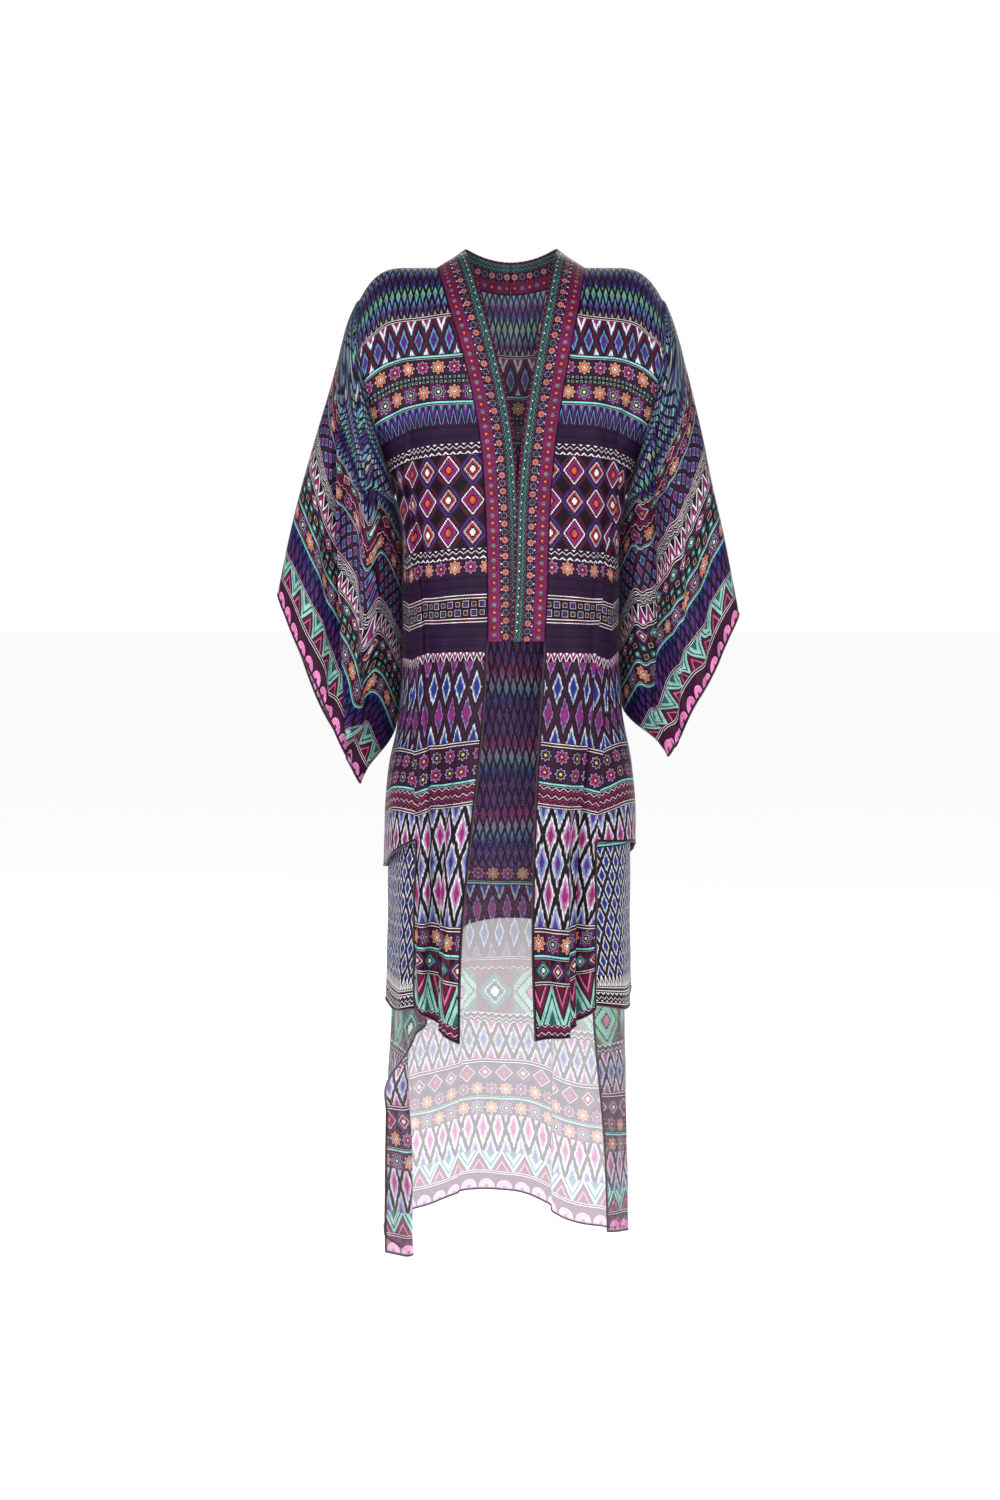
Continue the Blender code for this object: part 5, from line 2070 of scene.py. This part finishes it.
@dataclass
class Sleeve:
    """Wide sleeve, set into the armhole and open at a slanted cuff."""

    side: Side
    cuff_swell: float
    flat: Pair = (0.640, 0.480)
    area: float = 0.225
    arm_rows: int = 46
    lower_rows: int = 64
    half_columns: int = 84
    start: float = 0.009
    cuff_level: float = 2.0
    pale: float = 0.34
    power: float = 0.62
    flare_powers: Pair = (0.5, 4.5)
    side_gap: float = 0.001
    tuck: float = 0.060
    tuck_rise: Pair = (1.0, 1.08)
    tuck_fall: Pair = (1.78, 1.94)
    closing: Pair = (0.22, 0.86)
    swelling: Pair = (1.3, 2.0)
    swell_out: float = 0.9
    swell_down: float = 0.4
    ripple_height: float = 0.0009
    ripple_size: Pair = (0.28, 0.22)
    ripple_zone: Pair = (0.1, 0.5)
    ripple_seed: float = 1.7
    pleat_zone: Pair = (0.14, 0.86)

    def armhole(self, face: Face, share: Array) -> Array:
        """Edge of the armhole on the front or back at a share of its depth.

        Args:
            face: Front or back.
            share: Shares of the depth.

        Returns:
            Points of the edge.
        """
        drop = FORM.underarm_drop * share
        if face is Face.FRONT:
            return FORM.front(self.side, np.ones_like(drop), drop)
        return FORM.back(self.side.value * np.ones_like(drop), drop, 0.0)

    def folds(self, face: Face, level: Array, out: Array) -> Array:
        """Height of the folds of one half of the sleeve, let down towards both its edges.

        Args:
            face: The half.
            level: Level of each row.
            out: Share from the inner edge to the outer fold.

        Returns:
            Heights along Y.
        """
        edge = np.sqrt(np.clip(4.0 * out * (1.0 - out), 0.0, 1.0))
        folds = [fold for fold in SLEEVE_FOLDS[self.side] if fold.face is face]
        return edge * fold_height(folds, out, level, self.cuff_level)

    def pleated(self, level: Array, out: Array, face: Array, inner_x: Array, outer_x: Array) -> ArrayPair:
        """Places outward on each row with the pleats lapped over, and the height between laps.

        Args:
            level: Level of each row.
            out: Share from the inner edge to the outer fold.
            face: Half of the sleeve, as the sign of Y.
            inner_x: Distance of the inner edge from the middle.
            outer_x: Distance of the outer fold.

        Returns:
            Places outward from 0 to 1, and heights along Y.
        """
        placed = out + 0.0 * level
        height = np.zeros(placed.shape)
        for pleat in SLEEVE_PLEATS[self.side]:
            grow = smooth_step(pleat.start, pleat.full, level) * (face == pleat.face.value)
            centre = np.clip((pleat.across - inner_x) / (outer_x - inner_x), *self.pleat_zone)
            move, rise = lap(pleat, (out - centre) / pleat.width, out, grow)
            placed = placed + move
            height = height + rise
        return np.clip(placed, 0.0, 1.0), height

    def grid(self) -> ClothGrid:
        """Rows from the inner edge over the outer fold and back, level by level.

        A row runs straight from its inner to its outer end in X and Z; its depth is the armhole's
        width that fades outward, and a rounded bulge that grows towards the cuff.

        Returns:
            The sleeve's grid.
        """
        shares = FORM.arm_drops(self.arm_rows)[1:] / FORM.underarm_drop
        lower = np.linspace(1.0, self.cuff_level, self.lower_rows + 1)[1:]
        level = np.concatenate([[self.start], shares, lower])[:, None]
        turn = np.linspace(0.0, 1.0, 2 * self.half_columns + 1)[None, :]
        face = np.where(turn <= 0.5, -1.0, 1.0)
        out = 0.5 - 0.5 * np.cos(2.0 * np.pi * turn)
        arm = np.minimum(level, 1.0)
        edges = np.where(
            (face < 0.0)[..., None], self.armhole(Face.FRONT, arm), self.armhole(Face.BACK, arm)
        )
        rows = SLEEVES[self.side]
        below = level > 1.0
        sign = self.side.value
        gap = FORM.seam_gap
        inner_x = np.where(below, follow(rows, "inner_x", level), sign * edges[..., 0] + gap)
        inner_z = np.where(below, follow(rows, "inner_z", level), edges[..., 2])
        beside = follow(SECTIONS, "half_width", -inner_z) + self.side_gap
        tucked = smooth_step(*self.tuck_rise, level) * (1.0 - smooth_step(*self.tuck_fall, level))
        inner_x = inner_x + (beside - inner_x) * tucked
        columns = ("outer_x", "outer_z", "middle", "half_depth")
        outer_x, outer_z, middle, depth = (follow(rows, column, level) for column in columns)
        out, laps = self.pleated(level, out, face, inner_x, outer_x)
        width = np.where(below, 0.0, np.abs(edges[..., 1] - middle))
        closing = smooth_step(*self.closing, level)
        bulge = np.sin(np.pi * out) * (1.0 - closing)
        bulge = bulge + (2.0 * np.sqrt(out * (1.0 - out))) ** self.power * closing
        front, back = (self.folds(half, level, out) for half in Face)
        lift = laps + np.where(face < 0.0, front, back)
        wide, long = self.ripple_size
        wave = self.ripple_height * ripple(out * wide, level * long, self.ripple_seed * sign)
        lift = lift + wave * np.sin(np.pi * out) * smooth_step(*self.ripple_zone, level)
        first, last = self.flare_powers
        flare = (1.0 - out**2) ** (first + (last - first) * closing)
        y = middle + face * (width * flare + depth * bulge + lift + gap * (1.0 - out))
        y = y + self.tuck * tucked * (1.0 - out) ** 2
        grown = self.cuff_swell * smooth_step(*self.swelling, level)
        swell = grown * np.sin(np.pi * out) * (face > 0.0)
        x = inner_x + (outer_x - inner_x) * out + self.swell_out * swell
        z = inner_z + (outer_z - inner_z) * out - self.swell_down * swell
        points = np.stack([sign * x, y, z], axis=-1)
        run = run_length(points, 1)
        from_cuff = run_length(points[::-1], 0)[::-1]
        middle_run = run[:, self.half_columns][:, None]
        chart = point_grid(run - middle_run, from_cuff)
        return ClothGrid(points, chart, from_cuff)

    def build(self, shop: ClothShop, finish: ClothFinish) -> None:
        """Make the sleeve and its cuff hem.

        Args:
            shop: Maker of pieces.
            finish: Cloth of the sleeve.
        """
        grid = self.grid()
        normals = grid_normals(grid.points)
        inside = np.mean(grid.points, axis=1, keepdims=True)
        name = "sleeve_" + self.side.word
        panel = shop.panel(name, grid.faced(inside), finish, self.pale, "sleeve_cloth")
        hem = shop.rolled_hem(name + "_hem", grid.points[-1], normals[-1], "sleeve_cloth")


@dataclass
class CollarBand:
    """Half of the neck band, from the centre back round the neck and down a front edge."""

    side: Side
    lap: float
    width: float = 0.045
    end_drop: float = 0.507
    neck_share: float = 0.19
    drop_power: float = 1.15
    rows: int = 220
    columns: int = 15
    stand_off: float = 0.0001
    lap_zone: Pair = (0.45, 0.62)
    bulge: float = 0.0011
    wave_height: float = 0.0004
    wave_rates: Pair = (61.0, 143.0)
    flat_length: float = 0.660
    crystal_rows: tuple[float, ...] = (0.0193, 0.0372)
    crystal_pitch: float = 0.0112
    crystal_radius: float = 0.0011
    crystal_seat: float = 0.4
    crystal_margin: float = 0.004
    crystal_sides: int = 6
    crystal_rings: tuple[Pair, ...] = ((0.80, 0.0), (1.0, 0.35), (0.55, 0.85))
    thickness: float = 0.0012

    def seam(self, along: Array) -> Array:
        """Seam of the band: the scooped back neckline, then the inner edge of the front.

        Args:
            along: Shares along the band.

        Returns:
            Points of the seam.
        """
        neck = np.sin(0.5 * np.pi * np.clip(along / self.neck_share, 0.0, 1.0))
        across = self.side.value * neck * FORM.neck_half / FORM.shoulder_reach
        neck_points = FORM.back(across, FORM.neck_drop * (1.0 - neck**2), 0.0)
        share = np.clip((along - self.neck_share) / (1.0 - self.neck_share), 0.0, 1.0)
        drop = self.end_drop * share**self.drop_power
        front_points = FORM.front(self.side, np.zeros_like(drop), drop)
        return np.where((along < self.neck_share)[:, None], neck_points, front_points)

    def grid(self) -> ClothGrid:
        """Strip that reaches from the seam along a lean that turns from up to inward.

        Returns:
            The band's grid; its chart runs along the band and across it.
        """
        along = np.linspace(0.0, 1.0, self.rows)
        columns = ("inward", "forward", "up")
        inward, forward, up = (follow(BAND_LEANS, column, along) for column in columns)
        lean = unit(point_grid(-self.side.value * inward, -forward, up))
        share = np.linspace(0.0, 1.0, self.columns)
        reach = self.stand_off + self.width * share
        points = self.seam(along)[:, None] + lean[:, None] * reach[None, :, None]
        points[..., 1] += self.lap * smooth_step(*self.lap_zone, along)[:, None] * share[None, :]
        gap = 0.25 * FORM.seam_gap * (1.0 - smooth_step(0.0, 0.05, along))
        points[..., 0] += self.side.value * gap[:, None]
        run = run_length(points, 0)[:, self.columns // 2][:, None]
        slow, fast = self.wave_rates
        wave = np.sin(run * slow + self.side.value) + np.sin(run * fast)
        swell = self.bulge * np.sin(np.pi * share)[None, :] + self.wave_height * wave * share[None, :]
        points = points + self.outward(points) * swell[..., None]
        chart = point_grid(run, (self.width * share)[None, :])
        return ClothGrid(points, chart, np.full(points.shape[:2], 1.0))

    def outward(self, points: Array) -> Array:
        """Normals that point away from the neck and chest."""
        return self.side.value * grid_normals(points)

    def crystals(self, grid: ClothGrid, shop: ClothShop) -> Piece:
        """Faceted domes in rows along the band: rings on a small frame at each place.

        Args:
            grid: The band.
            shop: Maker of pieces.

        Returns:
            The crystals as one joined piece.
        """
        normals = self.outward(grid.points)
        run = grid.chart[:, 0, 0]
        lines = np.concatenate([grid.points, normals], axis=2)
        frames, charts = [], []
        for number, offset in enumerate(self.crystal_rows):
            shift = self.crystal_pitch * (0.5 + 0.5 * number)
            stops = np.arange(shift, run[-1] - self.crystal_margin, self.crystal_pitch)
            column = int(round(offset / self.width * (self.columns - 1)))
            frames.append(point_grid(*(np.interp(stops, run, part) for part in lines[:, column].T)))
            charts.append(point_grid(offset, stops))
        frame, chart = np.concatenate(frames), np.concatenate(charts)
        up = unit(frame[:, 3:])
        aside = unit(np.cross(up, UPRIGHT + 0.01))
        _, ring = circle(aside, np.cross(up, aside), self.crystal_sides)
        base = frame[:, :3] + up * shop.thickness * self.crystal_seat
        rings = [
            base[:, None] + self.crystal_radius * (wide * ring + high * up[:, None])
            for wide, high in self.crystal_rings
        ]
        points = np.stack(rings, axis=1)
        faces = ring_faces(*points.shape[:3])
        spread = np.repeat(chart, points[0, ..., 0].size, axis=0)
        name = "collar_" + self.side.word + "_crystals"
        piece = shop.mesh(name, points.reshape(-1, 3), faces, spread)
        piece.data.polygons.foreach_set("use_smooth", np.zeros(len(faces), dtype=bool))
        piece.data.materials.append(shared_material(CrystalFinish()))
        shop.file(piece, None)
        return piece

    def build(self, shop: ClothShop, finish: ClothFinish) -> None:
        """Make the band and its crystals.

        Args:
            shop: Maker of pieces.
            finish: Cloth of the band.
        """
        grid = self.grid()
        name = "collar_" + self.side.word
        axis = grid.points * UPRIGHT
        band = shop.panel(name, grid.faced(axis), finish, 0.0, "band_cloth")
        band.modifiers["cloth"].thickness = self.thickness
        crystals = self.crystals(grid, shop)


# Studio


class Lamp(NamedTuple):
    """Large soft lamp: its place, the point that it faces, the side of its face and its watts."""

    name: str
    place: Place
    aim: Place
    size: float
    power: float


LAMPS = table(
    Lamp,
    ("key", (-2.8, -3.2, 1.6), (0.0, 0.0, -0.5), 1.6, 66.0),
    ("front", (0.2, -4.4, -0.5), (0.0, 0.0, -0.7), 1.4, 64.0),
    ("under", (0.0, 0.02, -1.56), (0.0, 0.02, 0.0), 0.45, 5.0),
    ("fill", (3.0, -2.4, 0.6), (0.0, 0.0, -0.6), 2.4, 20.0),
    ("rear", (0.6, 3.4, 1.4), (0.0, 0.0, -0.6), 2.6, 60.0),
)


@dataclass(frozen=True)
class Studio:
    """Pale floor, soft light all round and a camera in front."""

    floor_height: float = -1.580
    floor_half: float = 30.0
    floor_tone: Colour = (0.92, 0.92, 0.92, 1.0)
    floor_roughness: float = 0.7
    floor_glow: float = 0.72
    lens: float = 55.78
    sensor_width: float = 36.0
    camera_place: Place = (-0.0149, -3.2, -0.384)
    camera_dip: float = 4.97
    world_light: float = 0.25

    def floor(self) -> None:
        """Flat square floor, made from a grid of two by two points."""
        ends = np.array([-self.floor_half, self.floor_half])
        x, y = np.meshgrid(ends, ends)
        points = np.stack([x, y, np.full_like(x, self.floor_height)], axis=-1).reshape(-1, 3)
        mesh = bpy.data.meshes.new("floor")
        mesh.from_pydata(points.tolist(), [], [[0, 1, 3, 2]])
        floor = bpy.data.objects.new("floor", mesh)
        bpy.context.scene.collection.objects.link(floor)
        material, _, shader = new_material("floor_paint")
        shader.inputs["Base Color"].default_value = self.floor_tone
        shader.inputs["Roughness"].default_value = self.floor_roughness
        shader.inputs["Emission Color"].default_value = PLAIN_WHITE
        shader.inputs["Emission Strength"].default_value = self.floor_glow
        mesh.materials.append(material)

    def hang(self, lamp: Lamp) -> None:
        """Put up a lamp and turn it to its point.

        Args:
            lamp: The lamp.
        """
        data = bpy.data.lights.new(lamp.name, "AREA")
        data.size = lamp.size
        data.energy = lamp.power
        light = bpy.data.objects.new(lamp.name, data)
        bpy.context.scene.collection.objects.link(light)
        light.location = lamp.place
        direction = Vector(lamp.aim) - Vector(lamp.place)
        light.rotation_euler = direction.to_track_quat("-Z", "Y").to_euler()

    def build(self) -> None:
        """Make floor, lamps, surrounding light and camera."""
        self.floor()
        scene = bpy.context.scene
        world = bpy.data.worlds.new("studio")
        world.use_nodes = True
        tree = world.node_tree
        light = tree.nodes["Background"]
        light.inputs["Color"].default_value = PLAIN_WHITE
        light.inputs["Strength"].default_value = self.world_light
        sight = tree.nodes.new("ShaderNodeBackground")
        sight.inputs["Color"].default_value = PLAIN_WHITE
        path = tree.nodes.new("ShaderNodeLightPath")
        blend = tree.nodes.new("ShaderNodeMixShader")
        tree.links.new(path.outputs["Is Camera Ray"], blend.inputs[0])
        tree.links.new(light.outputs[0], blend.inputs[1])
        tree.links.new(sight.outputs[0], blend.inputs[2])
        tree.links.new(blend.outputs[0], tree.nodes["World Output"].inputs["Surface"])
        scene.world = world
        scene.view_settings.view_transform = "Standard"
        for lamp in LAMPS:
            self.hang(lamp)
        data = bpy.data.cameras.new("camera")
        data.lens = self.lens
        data.sensor_width = self.sensor_width
        camera = bpy.data.objects.new("camera", data)
        scene.collection.objects.link(camera)
        camera.location = self.camera_place
        camera.rotation_euler = (np.radians(90.0 - self.camera_dip), 0.0, 0.0)
        scene.camera = camera


def clear_scene() -> None:
    """Remove whatever the new file holds."""
    for thing in list(bpy.data.objects):
        bpy.data.objects.remove(thing, do_unlink=True)


def build_kimono(shop: ClothShop) -> None:
    """Build and dress every piece, from the back layers outwards.

    Args:
        shop: Maker of pieces.
    """
    front_silk = ClothFinish("front_silk", FRONT_PRINT)
    sleeve_silk = ClothFinish("sleeve_silk", SLEEVE_PRINT)
    middle_silk = ClothFinish("middle_silk", MIDDLE_PRINT, fine_share=0.15)
    long_silk = ClothFinish("long_silk", LONG_PRINT, cover=0.42)
    band_silk = ClothFinish("band_silk", COLLAR_PRINT, roughness=0.48, drift=0.0)
    layers = (
        (BackLayer("back_outer", 0, "back_cloth", (0.66, 0.85), 0.440), front_silk),
        (
            BackLayer(
                "back_middle", 1, "layer_cloth", (0.70, 0.58), 0.350,
                skirt_rows=44, edges=MIDDLE_EDGES, print_hem=0.985,
            ),
            middle_silk,
        ),
        (
            BackLayer(
                "back_long", 2, "long_cloth", (0.72, 0.93), 0.600,
                skirt_rows=110, edges=LONG_EDGES, turn=LONG_TURN, pale=0.40, print_hem=1.340, backed=0.3,
            ),
            long_silk,
        ),
    )
    for layer, silk in layers:
        layer.build(shop, silk)
    for side, swell, lap in ((Side.RIGHT, 0.012, 0.003), (Side.LEFT, 0.003, -0.005)):
        FrontPanel(side).build(shop, front_silk)
        Sleeve(side, swell).build(shop, sleeve_silk)
        CollarBand(side, lap).build(shop, band_silk)


def main() -> None:
    """Load the frame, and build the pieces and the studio."""
    logging.basicConfig(level=logging.INFO, format="%(name)s %(message)s")
    clear_scene()
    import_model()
    shop = ClothShop()
    build_kimono(shop)
    Studio().build()


if __name__ == "__main__":
    main()
